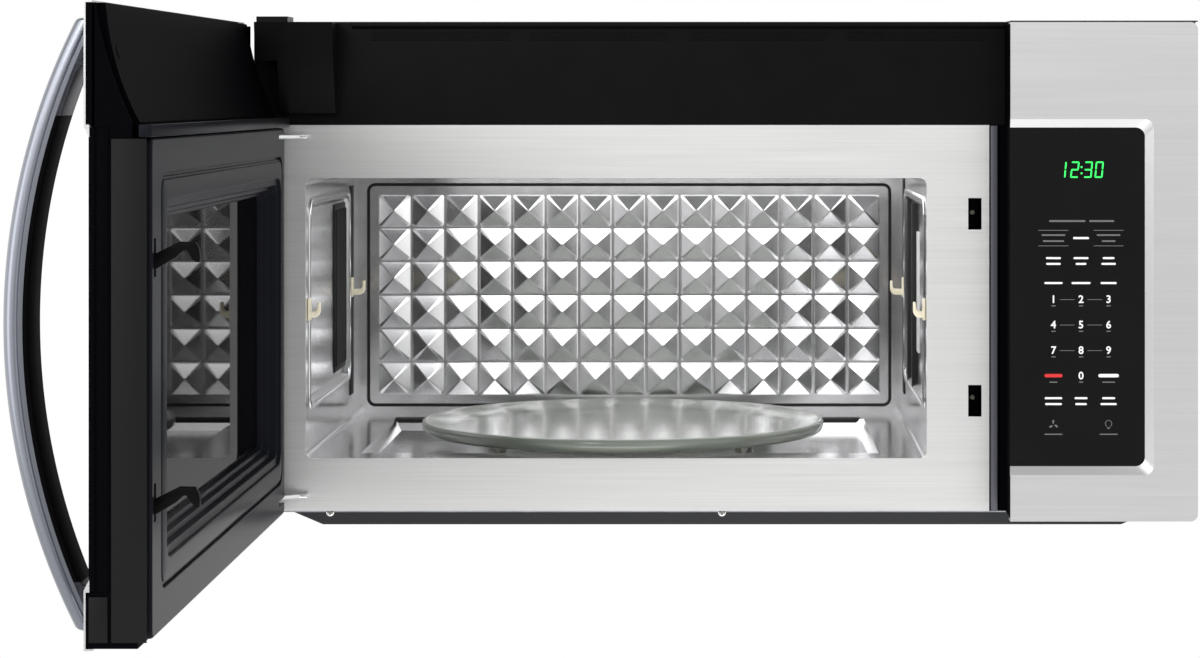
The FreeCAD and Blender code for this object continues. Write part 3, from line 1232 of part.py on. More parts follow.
# ---- turntable ----
def glass_tray():
    half = TRAY_T / 2.0
    z0 = TRAY_BOTTOM
    rim = z0 + TRAY_RIM_RISE
    profile = [(0.0, z0), (TRAY_FLAT_R, z0), (TRAY_R - half, rim), (TRAY_R, rim + half),
               (TRAY_R - half, rim + TRAY_T), (TRAY_FLAT_R - half, z0 + TRAY_T), (0.0, z0 + TRAY_T)]
    wire = Part.makePolygon([Vector(CAV_MID_X + r, TRAY_DEPTH, z) for r, z in profile + profile[:1]])
    return Part.Face(wire).revolve(Vector(CAV_MID_X, TRAY_DEPTH, 0), Vector(0, 0, 1), 360.0)


def turntable_coupler():
    z0 = SINK_FLOOR + TOUCH
    parts = [rod(COUPLER_HUB_R, TRAY_BOTTOM - z0, CAV_MID_X, TRAY_DEPTH, z0)]
    wide = COUPLER_ARM_W / 2.0
    for k in range(COUPLER_ARMS):
        arm = box(0.0, COUPLER_R, -wide, wide, TRAY_BOTTOM - COUPLER_ARM_H, TRAY_BOTTOM)
        arm.rotate(Vector(0, 0, 0), Vector(0, 0, 1), 360.0 * k / COUPLER_ARMS)
        arm.translate(Vector(CAV_MID_X, TRAY_DEPTH, 0))
        parts.append(arm)
    shaft_bottom = SINK_FLOOR - SHEET - DRIVE_SHAFT_IN
    parts.append(rod(DRIVE_SHAFT_R, z0 - shaft_bottom, CAV_MID_X, TRAY_DEPTH, shaft_bottom))
    return fused(parts)


def roller_places():
    return [2.0 * math.pi * k / ROLLER_COUNT + math.pi / 2.0 for k in range(ROLLER_COUNT)]


def roller_ring():
    outer = RING_R + RING_W / 2.0
    parts = [tube(outer, outer - RING_W, RING_H, CAV_MID_X, TRAY_DEPTH, RAIL_Z - RING_H / 2.0)]
    for turn in roller_places():
        pin = rod(ROLLER_PIN_R, ROLLER_W + 2.0 * RING_GAP, outer - 1.0, 0.0, RAIL_Z, "x")
        pin.rotate(Vector(0, 0, 0), Vector(0, 0, 1), math.degrees(turn))
        pin.translate(Vector(CAV_MID_X, TRAY_DEPTH, 0))
        parts.append(pin)
    return fused(parts)


def roller(turn):
    start = ROLLER_CIRCLE_R - ROLLER_W / 2.0
    wheel = rod(ROLLER_R, ROLLER_W, start, 0.0, RAIL_Z, "x").cut(
        rod(ROLLER_PIN_R + PIN_CLEAR, ROLLER_W, start, 0.0, RAIL_Z, "x"))
    wheel.rotate(Vector(0, 0, 0), Vector(0, 0, 1), math.degrees(turn))
    wheel.translate(Vector(CAV_MID_X, TRAY_DEPTH, 0))
    return wheel


def turntable_motor():
    top = SINK_FLOOR - SHEET
    can = rod(TURN_MOTOR_R, TURN_MOTOR_H, CAV_MID_X, TRAY_DEPTH, top - TURN_MOTOR_H)
    reach = TURN_MOTOR_R + MOTOR_EAR
    wide = MOTOR_EAR_W / 2.0
    ears = box(CAV_MID_X - reach, CAV_MID_X + reach, TRAY_DEPTH - wide, TRAY_DEPTH + wide, top - SHEET, top)
    deep = DRIVE_SHAFT_IN + 1.0
    bore = rod(DRIVE_SHAFT_R + PIN_CLEAR, deep, CAV_MID_X, TRAY_DEPTH, top - deep)
    return can.fuse(ears).cut(bore).removeSplitter()


# ---- ventilation ----
def blower_mids():
    return [CAV_MID_X - BLOWER_OFFSET, CAV_MID_X + BLOWER_OFFSET]


def blower_scrolls():
    solids = []
    t = BLOWER_WALL
    y = BLOWER_DEPTH
    z = BLOWER_Z
    for x in blower_mids():
        x0 = x - BLOWER_W / 2.0
        x1 = x0 + BLOWER_W
        drum = rod(BLOWER_R, BLOWER_W, x0, y, z, "x")
        foot = box(x0, x1, y - SCROLL_FOOT, y + SCROLL_FOOT, CEILING, z - BLOWER_WHEEL_R + t)
        spout = box(x0, x1, y - t, y + BLOWER_R, z, z + BLOWER_R)
        shell = fused([drum, foot, spout])
        hollow = rod(BLOWER_R - t, BLOWER_W - 2.0 * t, x0 + t, y, z, "x")
        mouth = box(x0 + t, x1 - t, y, y + BLOWER_R - t, z, z + BLOWER_R)
        inlet = rod(BLOWER_WHEEL_R - BLADE_W - 1.0, BLOWER_W, x0, y, z, "x")
        shell = without(shell, [hollow, mouth, inlet])
        solids.append(shell)
    return group(solids)


def blower_wheels():
    parts = []
    width = BLOWER_W - BLOWER_SPARE
    t = BLOWER_WALL
    inner = BLOWER_WHEEL_R - BLADE_W
    half = BLADE_T / 2.0
    for x in blower_mids():
        x0 = x - width / 2.0
        parts.append(rod(BLOWER_WHEEL_R, t, x - t / 2.0, BLOWER_DEPTH, BLOWER_Z, "x"))
        for end in (x0, x0 + width - t):
            parts.append(tube(BLOWER_WHEEL_R, inner, t, end, BLOWER_DEPTH, BLOWER_Z, "x"))
        for k in range(BLOWER_BLADES):
            blade = box(x0, x0 + width, -half, half, inner, BLOWER_WHEEL_R)
            blade.rotate(Vector(0, 0, 0), Vector(1, 0, 0), 360.0 * k / BLOWER_BLADES)
            blade.translate(Vector(0, BLOWER_DEPTH, BLOWER_Z))
            parts.append(blade)
    first, last = blower_mids()
    parts.append(rod(BLOWER_SHAFT_R, last - first + t, first - t / 2.0, BLOWER_DEPTH, BLOWER_Z, "x"))
    return fused(parts)


def blower_motor():
    x0 = CAV_MID_X - BLOWER_MOTOR_L / 2.0
    x1 = x0 + BLOWER_MOTOR_L
    can = rod(BLOWER_MOTOR_R, BLOWER_MOTOR_L, x0, BLOWER_DEPTH, BLOWER_Z, "x")
    saddle = box(x0 + SADDLE_IN, x1 - SADDLE_IN, BLOWER_DEPTH - SADDLE_HALF, BLOWER_DEPTH + SADDLE_HALF,
                 CEILING, BLOWER_Z - BLOWER_MOTOR_R / 2.0)
    bore = rod(BLOWER_SHAFT_R + PIN_CLEAR, BLOWER_MOTOR_L, x0, BLOWER_DEPTH, BLOWER_Z, "x")
    return can.fuse(saddle).cut(bore).removeSplitter()


def exhaust_collar():
    w = COLLAR_W / 2.0
    d = COLLAR_D / 2.0
    t = COLLAR_T
    over = COLLAR_FLANGE
    z0 = TOP_UNDER - COLLAR_H
    outer = box(-w, w, COLLAR_DEPTH - d, COLLAR_DEPTH + d, z0, TOP_UNDER)
    flange = box(-w - over, w + over, COLLAR_DEPTH - d - over, COLLAR_DEPTH + d + over, TOP_UNDER - t,
                 TOP_UNDER)
    inner = box(-w + t, w - t, COLLAR_DEPTH - d + t, COLLAR_DEPTH + d - t, z0, TOP_UNDER)
    collar = outer.fuse(flange).cut(inner)
    y, z = flap_axis()
    return collar.cut(rod(FLAP_PIN_R + PIN_CLEAR, COLLAR_W, -w, y, z, "x")).removeSplitter()


def flap_axis():
    return COLLAR_DEPTH - COLLAR_D / 2.0 + FLAP_EDGE, TOP_UNDER - FLAP_DROP


def damper_flap():
    w = COLLAR_W / 2.0 - 2.0 * COLLAR_T
    pin_half = COLLAR_W / 2.0 - PIN_CLEAR
    half = FLAP_T / 2.0
    y, z = flap_axis()
    leaf = box(-w, w, y, COLLAR_DEPTH + COLLAR_D / 2.0 - COLLAR_T - FLAP_GAP, z - half, z + half)
    barrel = rod(FLAP_BARREL_R, 2.0 * w, -w, y, z, "x")
    pin = rod(FLAP_PIN_R, 2.0 * pin_half, -pin_half, y, z, "x")
    return fused([leaf, barrel, pin])


def grease_filters():
    solids = []
    for x in (-FILTER_X, FILTER_X):
        w = FILTER_W / 2.0
        d = FILTER_D / 2.0
        pad = floor_slab(x - w, x + w, FILTER_DEPTH - d, FILTER_DEPTH + d, SHEET, SHEET + FILTER_T, FILTER_R)
        w -= FILTER_RIM
        d -= FILTER_RIM
        mesh = box(x - w, x + w, FILTER_DEPTH - d, FILTER_DEPTH + d, SHEET, SHEET + FILTER_STEP)
        solids.append(pad.cut(mesh))
    return group(solids)


def cooktop_lamps():
    solids = []
    for x in (-FILTER_X, FILTER_X):
        w = LAMP_W / 2.0
        d = LAMP_D / 2.0
        flange = box(x - w, x + w, LAMP_DEPTH - d, LAMP_DEPTH + d, SHEET, SHEET + LAMP_FLANGE_T)
        w -= OPENING_SEAT + TOUCH
        d -= OPENING_SEAT + TOUCH
        lens = floor_slab(x - w, x + w, LAMP_DEPTH - d, LAMP_DEPTH + d, TOUCH, SHEET + LENS_H, OPENING_R)
        solids.append(flange.fuse(lens).removeSplitter())
    return group(solids)


def cord_gland():
    flange = rod(GLAND_R + GLAND_RIM, GLAND_RIM_H, GLAND_X, GLAND_DEPTH, BODY_TOP)
    sleeve = rod(GLAND_R, SHEET + GLAND_SLEEVE, GLAND_X, GLAND_DEPTH, TOP_UNDER - GLAND_SLEEVE)
    nut = rod(GLAND_R + GLAND_RIM - 1.0, GLAND_NUT_H, GLAND_X, GLAND_DEPTH, TOP_UNDER - GLAND_NUT_H)
    whole = GLAND_SLEEVE + SHEET + GLAND_RIM_H
    bore = rod(GLAND_BORE_R, whole, GLAND_X, GLAND_DEPTH, TOP_UNDER - GLAND_SLEEVE)
    return fused([flange, sleeve, nut]).cut(bore)


# ---- convection ----
def convection_housing():
    pan = rod(FAN_PAN_R, FAN_PAN_H, CAV_MID_X, FAN_DEPTH, CEILING)
    flange = rod(FAN_PAN_R + PAN_FLANGE, SHEET, CAV_MID_X, FAN_DEPTH, CEILING)
    hollow = rod(FAN_PAN_R - SHEET, FAN_PAN_H - SHEET, CAV_MID_X, FAN_DEPTH, CEILING)
    hole = rod(FAN_SHAFT_R + 1.2, FAN_PAN_H, CAV_MID_X, FAN_DEPTH, CEILING)
    return without(pan.fuse(flange), [hollow, hole]).removeSplitter()


def convection_fan():
    z0 = CEILING + FAN_LIFT
    half = BLADE_T / 2.0
    parts = [rod(FAN_R, SHEET, CAV_MID_X, FAN_DEPTH, z0), rod(FAN_HUB_R, FAN_HUB_H, CAV_MID_X, FAN_DEPTH, z0)]
    for k in range(FAN_BLADES):
        blade = box(2.0 * FAN_HUB_R, FAN_R - 1.0, -half, half, z0, z0 + FAN_BLADE_H)
        blade.rotate(Vector(0, 0, 0), Vector(0, 0, 1), 360.0 * k / FAN_BLADES)
        blade.translate(Vector(CAV_MID_X, FAN_DEPTH, 0))
        parts.append(blade)
    parts.append(rod(FAN_SHAFT_R, FAN_PAN_TOP + FAN_SHAFT_IN - z0, CAV_MID_X, FAN_DEPTH, z0))
    return fused(parts)


def convection_heater():
    ring = Part.makeTorus(HEATER_R, HEATER_TUBE_R)
    ring.translate(Vector(CAV_MID_X, FAN_DEPTH, CEILING + HEATER_LIFT))
    leads = []
    start = HEATER_LIFT - 1.0
    for x in (-HEATER_LEAD_X, HEATER_LEAD_X):
        y = FAN_DEPTH - math.sqrt(HEATER_R ** 2 - x ** 2)
        leads.append(rod(HEATER_LEAD_R, FAN_PAN_H - SHEET - start, CAV_MID_X + x, y, CEILING + start))
    return fused([ring] + leads)


def convection_motor():
    can = rod(FAN_MOTOR_R, FAN_MOTOR_H, CAV_MID_X, FAN_DEPTH, FAN_PAN_TOP)
    return can.cut(rod(FAN_SHAFT_R + PIN_CLEAR, FAN_SHAFT_IN + 2.0, CAV_MID_X, FAN_DEPTH, FAN_PAN_TOP))


# ---- microwave circuit ----
def waveguide():
    x0 = WALL_X[1] + SHEET
    x1 = x0 + GUIDE_T
    y0 = MAG_DEPTH - GUIDE_HALF
    y1 = MAG_DEPTH + GUIDE_HALF
    z0 = MAG_Z - GUIDE_LOW
    z1 = MAG_Z + GUIDE_HIGH
    hollow = box(x0, x1 - SHEET, y0 + SHEET, y1 - SHEET, z0 + SHEET, z1 - SHEET)
    antenna = rod(ANTENNA_R + ANTENNA_GAP, 2.0 * SHEET, x1 - SHEET, MAG_DEPTH, MAG_Z, "x")
    return without(box(x0, x1, y0, y1, z0, z1), [hollow, antenna])


def magnetron():
    x0 = WALL_X[1] + SHEET + GUIDE_T
    x1 = x0 + MAG_YOKE
    half = MAG_SIZE / 2.0
    t = MAG_WALL
    plate_t = t / 2.0

    def block(xa, xb, less_y, less_z):
        return box(xa, xb, MAG_DEPTH - half + less_y, MAG_DEPTH + half - less_y, MAG_Z - half + less_z,
                   MAG_Z + half - less_z)

    yoke = block(x0 + plate_t, x1, 2.0 * t, t).cut(block(x0 + plate_t + t, x1 - t, 0.0, 2.0 * t))
    anode = rod(ANODE_R, x1 - x0 - t, x0 + plate_t, MAG_DEPTH, MAG_Z, "x")
    parts = [block(x0, x0 + plate_t, 0.0, 0.0), yoke, anode]
    pitch = (MAG_YOKE - 2.0 * t) / (MAG_FINS + 1)
    for i in range(MAG_FINS):
        x = x0 + t + (i + 1) * pitch
        parts.append(block(x, x + SHEET, 2.0 * t + 1.0, 2.0 * t))
    antenna = GUIDE_T - ANTENNA_SHORT
    parts.append(rod(ANTENNA_R, antenna, x0 - antenna, MAG_DEPTH, MAG_Z, "x"))
    parts.append(block(x1, x1 + MAG_BOX_L, half - MAG_BOX_HALF, half - MAG_BOX_HALF * 0.8))
    return fused(parts)


def hv_transformer():
    x = SIDE - CORE_SIDE
    y = PLATE_BACK + CORE_FRONT

    def block(wide, deep, z0, z1):
        w = wide / 2.0
        d = deep / 2.0
        return box(x - w, x + w, y - d, y + d, BASE_TOP + z0, BASE_TOP + z1)

    core = block(CORE_W, CORE_D, 0.0, CORE_H)
    coils = block(COIL_W, COIL_D, COIL_IN, CORE_H - COIL_IN)
    foot = block(CORE_W + 2.0 * COIL_IN, CORE_D + CORE_FOOT_T, 0.0, CORE_FOOT_T)
    return fused([core, coils, foot])


def hv_capacitor():
    x = SIDE - CAP_SIDE
    y = BODY_DEPTH - CAP_REAR
    w = CAP_W / 2.0
    d = CAP_D / 2.0
    top = BASE_TOP + CAP_H
    parts = [floor_slab(x - w, x + w, y - d, y + d, BASE_TOP, top, d - 1.0)]
    for tab_x in (x - CAP_TAB_X, x + CAP_TAB_X):
        tab = box(tab_x - CAP_TAB_W / 2.0, tab_x + CAP_TAB_W / 2.0, y - CAP_TAB_T / 2.0, y + CAP_TAB_T / 2.0,
                  top, top + CAP_TAB_H)
        parts.append(tab)
    return fused(parts)


def cooling_fan_housing():
    half = COOL_SIZE / 2.0
    y0 = BODY_DEPTH - SHEET - COOL_T
    frame = box(COOL_X - half, COOL_X + half, y0, BODY_DEPTH - SHEET, COOL_Z - half, COOL_Z + half)
    t = COOL_SPOKE
    frame = frame.cut(rod(COOL_WHEEL_R + COOL_TIP, COOL_T, COOL_X, y0, COOL_Z, "y"))
    parts = [frame, rod(COOL_MOTOR_R + 1.0, t, COOL_X, y0, COOL_Z, "y")]
    reach = COOL_WHEEL_R + COOL_TIP + 1.0
    for k in range(COOL_SPOKES):
        bar = box(-reach, reach, y0, y0 + t, -0.75 * t, 0.75 * t)
        bar.rotate(Vector(0, 0, 0), Vector(0, 1, 0), 180.0 * k / COOL_SPOKES)
        bar.translate(Vector(COOL_X, 0, COOL_Z))
        parts.append(bar)
    motor = rod(COOL_MOTOR_R, COOL_MOTOR_L, COOL_X, y0 + t, COOL_Z, "y")
    bore = rod(COOL_SHAFT_R + PIN_CLEAR, COOL_MOTOR_L - 1.0, COOL_X, y0 + t + 1.0, COOL_Z, "y")
    return group([fused(parts), motor.cut(bore)])


def cooling_fan_wheel():
    start = BODY_DEPTH - SHEET - COOL_T + COOL_SPOKE + COOL_MOTOR_L + TOUCH
    shaft = COOL_HUB_L + COOL_SHAFT_IN
    parts = [rod(COOL_HUB_R, COOL_HUB_L, COOL_X, start, COOL_Z, "y"),
             rod(COOL_SHAFT_R, shaft, COOL_X, start - COOL_SHAFT_IN, COOL_Z, "y")]
    half = BLADE_T / 2.0
    wide = COOL_BLADE_W / 2.0
    for k in range(COOL_BLADES):
        blade = box(COOL_HUB_R - 2.0, COOL_WHEEL_R, -half, half, -wide, wide)
        blade.rotate(Vector(0, 0, 0), Vector(1, 0, 0), COOL_BLADE_TURN)
        blade.rotate(Vector(0, 0, 0), Vector(0, 1, 0), 360.0 * k / COOL_BLADES)
        blade.translate(Vector(COOL_X, start + COOL_HUB_L / 2.0, COOL_Z))
        parts.append(blade)
    return fused(parts)


def cavity_lamp():
    """Bulb in its holder on the outside of the left wall, behind the grille."""
    x1 = WALL_X[0] - SHEET
    y = INSET_END - GRILLE_EDGE - GRILLE_L / 2.0
    half = BULB_HOLDER / 2.0
    z0 = INSET_TOP - BULB_DROP
    holder = box(x1 - BULB_HOLDER, x1, y - half, y + half, z0, z0 + BULB_HOLDER)
    return holder.fuse(rod(BULB_R, BULB_L, x1 - half, y, z0 - BULB_L)).removeSplitter()


def case_screws():
    solids = []
    for x in FRONT_SCREWS:
        solids.append(screw(x, PAN_FRONT, PAN_H / 2.0, "y", -1, SHEET))
    for x, z in rear_screw_places():
        solids.append(screw(x, BODY_DEPTH - SHEET, z, "y", -1, SHEET))
    for x, z in hinge_screw_places():
        solids.append(screw(x, PLATE_DEPTH - FOOT_T, z, "y", -1, HINGE_SCREW_L, FLAT_HEAD_H))
    return group(solids)


BODY_PIECES = {
    "outer_wrap": outer_wrap, "rear_plate": rear_plate, "bottom_pan": bottom_pan, "base_plate": base_plate,
    "cavity_front_plate": cavity_front_plate, "cavity_shell": cavity_shell,
    "cavity_back_panel": cavity_back_panel, "back_panel_gasket": back_panel_gasket,
    "waveguide_cover": waveguide_cover, "side_wall_grille": side_wall_grille, "rack_clips": rack_clips,
    "hinge_cover_box": hinge_cover_box, "vent_recess_panel": vent_recess_panel,
    "control_fascia": control_fascia, "control_glass": control_glass, "control_housing": control_housing,
    "touch_membrane": touch_membrane, "clock_display": clock_display, "control_board": control_board,
    "latch_bracket": latch_bracket, "interlock_switches": interlock_switches,
    "hinge_brackets": hinge_brackets,
    "glass_tray": glass_tray, "turntable_coupler": turntable_coupler, "roller_ring": roller_ring,
    "turntable_motor": turntable_motor, "blower_scrolls": blower_scrolls, "blower_wheels": blower_wheels,
    "blower_motor": blower_motor, "exhaust_collar": exhaust_collar, "damper_flap": damper_flap,
    "grease_filters": grease_filters, "cooktop_lamps": cooktop_lamps, "cord_gland": cord_gland,
    "convection_housing": convection_housing, "convection_fan": convection_fan,
    "convection_heater": convection_heater, "convection_motor": convection_motor, "waveguide": waveguide,
    "magnetron": magnetron, "hv_transformer": hv_transformer, "hv_capacitor": hv_capacitor,
    "cooling_fan_housing": cooling_fan_housing,
    "cooling_fan_wheel": cooling_fan_wheel, "cavity_lamp": cavity_lamp, "case_screws": case_screws,
}

DOOR_PIECES = {
    "door_skin": door_skin, "door_glass_outer": door_glass_outer, "door_frame": door_frame,
    "choke_cover": choke_cover, "door_screen": door_screen, "door_glass_inner": door_glass_inner,
    "door_handle": door_handle, "handle_screws": handle_screws, "door_latch": door_latch,
}


def main():
    os.makedirs("parts", exist_ok=True)
    for name, make in BODY_PIECES.items():
        put_away(name, make())
    for k, turn in enumerate(roller_places()):
        put_away("roller_" + str(k + 1), roller(turn))
    for name, z in zip(("switch_plunger_upper", "switch_plunger_lower"), switch_heights()):
        put_away(name, switch_plunger(z))
    for name, make in DOOR_PIECES.items():
        put_away(name, make(), on_door=True)


main()
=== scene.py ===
"""Over the range microwave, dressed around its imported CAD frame.

The frame is in metres: X runs to the right, Y into the wall and Z up, and the origin is the middle of the four
wall bolts, on the wall face. The oven's own sizes are written in millimetres, as X, depth behind the stainless
front and height over the flat bottom. build() and on_door() turn them into points of the frame. The door stands
open at rest.
"""

import logging
import math
from dataclasses import dataclass, field
from enum import Enum
from typing import Any, Callable, Iterable, Sequence

import bmesh
import bpy
from mathutils import Matrix, Vector


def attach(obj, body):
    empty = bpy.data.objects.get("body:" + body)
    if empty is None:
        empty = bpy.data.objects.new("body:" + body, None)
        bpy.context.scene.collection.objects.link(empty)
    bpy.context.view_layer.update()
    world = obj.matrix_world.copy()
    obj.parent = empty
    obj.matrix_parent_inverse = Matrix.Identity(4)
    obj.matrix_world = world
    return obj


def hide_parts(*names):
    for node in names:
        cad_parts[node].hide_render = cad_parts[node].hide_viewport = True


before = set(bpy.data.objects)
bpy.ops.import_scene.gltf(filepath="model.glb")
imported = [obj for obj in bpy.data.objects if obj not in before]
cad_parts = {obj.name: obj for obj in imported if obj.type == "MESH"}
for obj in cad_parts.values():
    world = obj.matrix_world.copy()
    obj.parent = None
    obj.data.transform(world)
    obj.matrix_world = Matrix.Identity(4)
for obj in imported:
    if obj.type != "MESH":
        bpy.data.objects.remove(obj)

LOG = logging.getLogger("microwave")
MM = 0.001
FRONT_Y = -415.0 * MM      # stainless front plane
BOTTOM_Z = -210.0 * MM     # flat bottom of the case
HINGE = Vector((-368.2 * MM, FRONT_Y + 22.2 * MM, 0.0))
Pair = tuple[float, float]
Point = tuple[float, float, float]
Place = Callable[[float, float, float], Vector]


# ---- small helpers ----
def linear(hex_colour: str) -> tuple[float, float, float, float]:
    """Turns an sRGB hex colour to a linear one.

    Args:
        hex_colour: Six hex digits after a hash sign.

    Returns:
        Linear red, green, blue and an alpha of 1.
    """
    parts = [int(hex_colour[i:i + 2], 16) / 255.0 for i in (1, 3, 5)]
    light = [p / 12.92 if p <= 0.04045 else ((p + 0.055) / 1.055) ** 2.4 for p in parts]
    return (light[0], light[1], light[2], 1.0)


def add_node(tree: bpy.types.NodeTree, kind: str, inputs: dict[Any, Any] | None = None,
             **settings: Any) -> bpy.types.Node:
    """Adds a node with its settings, values and links.

    Args:
        tree: The tree that gets the node.
        kind: Blender's type name of the node.
        inputs: Values, or output sockets to link from, by the name or index of the input socket.
        **settings: Attributes of the node.

    Returns:
        The new node.
    """
    node = tree.nodes.new(kind)
    for key, value in settings.items():
        setattr(node, key, value)
    for key, value in (inputs or {}).items():
        if isinstance(value, bpy.types.NodeSocket):
            tree.links.new(value, node.inputs[key])
        else:
            node.inputs[key].default_value = value
    return node


def placed(name: str, data: bpy.types.ID) -> bpy.types.Object:
    """Puts data into the scene as an object at the origin."""
    made = bpy.data.objects.new(name, data)
    bpy.context.scene.collection.objects.link(made)
    return made


def build(x: float, depth: float, z: float) -> Vector:
    """Gives the place of a point of the body.

    Args:
        x: Millimetres to the right of the body's middle.
        depth: Millimetres behind the stainless front plane.
        z: Millimetres over the flat bottom.

    Returns:
        The point in the frame.
    """
    return Vector((x * MM, FRONT_Y + depth * MM, BOTTOM_Z + z * MM))


def on_door(x: float, depth: float, z: float) -> Vector:
    """Gives the place of a point of the open door, from where it is when the door is shut."""
    shut = build(x, depth, z)
    side = shut - HINGE
    return Vector((HINGE.x + side.y, HINGE.y - side.x, shut.z))


# ---- finishes ----
@dataclass(frozen=True)
class Finish:
    """A procedural material: two tones and a roughness that follow one fine pattern.

    Attributes:
        name: The real material and how its surface was made.
        light: Lighter tone.
        dark: Darker tone.
        rough: Roughness where the pattern is low and where it is high.
        grain_mm: Size of the pattern's marks, or their sizes along X, Y and Z.
        relief_mm: Height of the marks.
        ior: Index of refraction; metals keep the default.
        spec: Specular level; fine texture traps light and lowers it.
        coat: Weight of a clear gloss layer.
        round_mm: Radius that eases the edges.
        metallic: 1 for bare metal.
    """

    name: str
    light: str
    dark: str
    rough: Pair
    grain_mm: float | Point
    relief_mm: float
    ior: float | None = 1.5
    spec: float = 0.5
    coat: float = 0.0
    round_mm: float = 0.0
    metallic: float = 0.0

    def extras(self, tree: bpy.types.NodeTree, shader: bpy.types.Node) -> None:
        """Sets what only some materials have."""

    def material(self) -> bpy.types.Material:
        """Makes the material once and gives it again when asked again.

        Returns:
            The Blender material.
        """
        found = bpy.data.materials.get(self.name)
        if found:
            return found
        made = bpy.data.materials.new(self.name)
        made.use_nodes = True
        tree = made.node_tree
        tree.nodes.clear()
        grain = self.grain_mm if isinstance(self.grain_mm, tuple) else (self.grain_mm,) * 3
        place = add_node(tree, "ShaderNodeTexCoord").outputs["Object"]
        mapped = add_node(tree, "ShaderNodeMapping", {"Vector": place, "Scale": [1.0 / (g * MM) for g in grain]})
        noise = add_node(tree, "ShaderNodeTexNoise", {"Vector": mapped.outputs[0], "Scale": 1.0, "Detail": 3.0})
        marks = noise.outputs["Fac"]
        rough = add_node(tree, "ShaderNodeMapRange", {"Value": marks, "To Min": self.rough[0], "To Max": self.rough[1]})
        tones = add_node(tree, "ShaderNodeMix", {0: marks}, data_type="RGBA")
        for socket, tone in zip([s for s in tones.inputs if s.type == "RGBA"], (self.dark, self.light)):
            socket.default_value = linear(tone)
        shader = add_node(tree, "ShaderNodeBsdfPrincipled", {
            "Base Color": next(s for s in tones.outputs if s.type == "RGBA"), "Roughness": rough.outputs[0],
            "Metallic": self.metallic, "Coat Weight": self.coat, "Specular IOR Level": self.spec})
        if self.ior is not None:
            shader.inputs["IOR"].default_value = self.ior
        bump = add_node(tree, "ShaderNodeBump", {"Height": marks, "Strength": 1.0, "Distance": self.relief_mm * MM})
        if self.round_mm > 0.0:
            eased = add_node(tree, "ShaderNodeBevel", {"Radius": self.round_mm * MM}, samples=4)
            tree.links.new(eased.outputs[0], bump.inputs["Normal"])
        tree.links.new(bump.outputs[0], shader.inputs["Normal"])
        self.extras(tree, shader)
        add_node(tree, "ShaderNodeOutputMaterial", {"Surface": shader.outputs[0]})
        return made


@dataclass(frozen=True)
class Metal(Finish):
    """Bare metal."""

    ior: float | None = None
    metallic: float = 1.0


@dataclass(frozen=True)
class BrushedMetal(Metal):
    """Bare metal with long fine brush lines, which stretch its highlights."""

    stretch: float = 0.5

    def extras(self, tree: bpy.types.NodeTree, shader: bpy.types.Node) -> None:
        """Stretches the highlights across the brush lines."""
        shader.inputs["Anisotropic"].default_value = self.stretch


@dataclass(frozen=True)
class ClearGlass(Finish):
    """Tempered glass that light passes through."""

    clear: float = 1.0

    def extras(self, tree: bpy.types.NodeTree, shader: bpy.types.Node) -> None:
        """Lets light through the glass."""
        shader.inputs["Transmission Weight"].default_value = self.clear


@dataclass(frozen=True)
class Lit(Finish):
    """A part that shines by itself."""

    power: float = 1.0

    def extras(self, tree: bpy.types.NodeTree, shader: bpy.types.Node) -> None:
        """Makes it shine in its lighter tone."""
        shader.inputs["Emission Color"].default_value = linear(self.light)
        shader.inputs["Emission Strength"].default_value = self.power


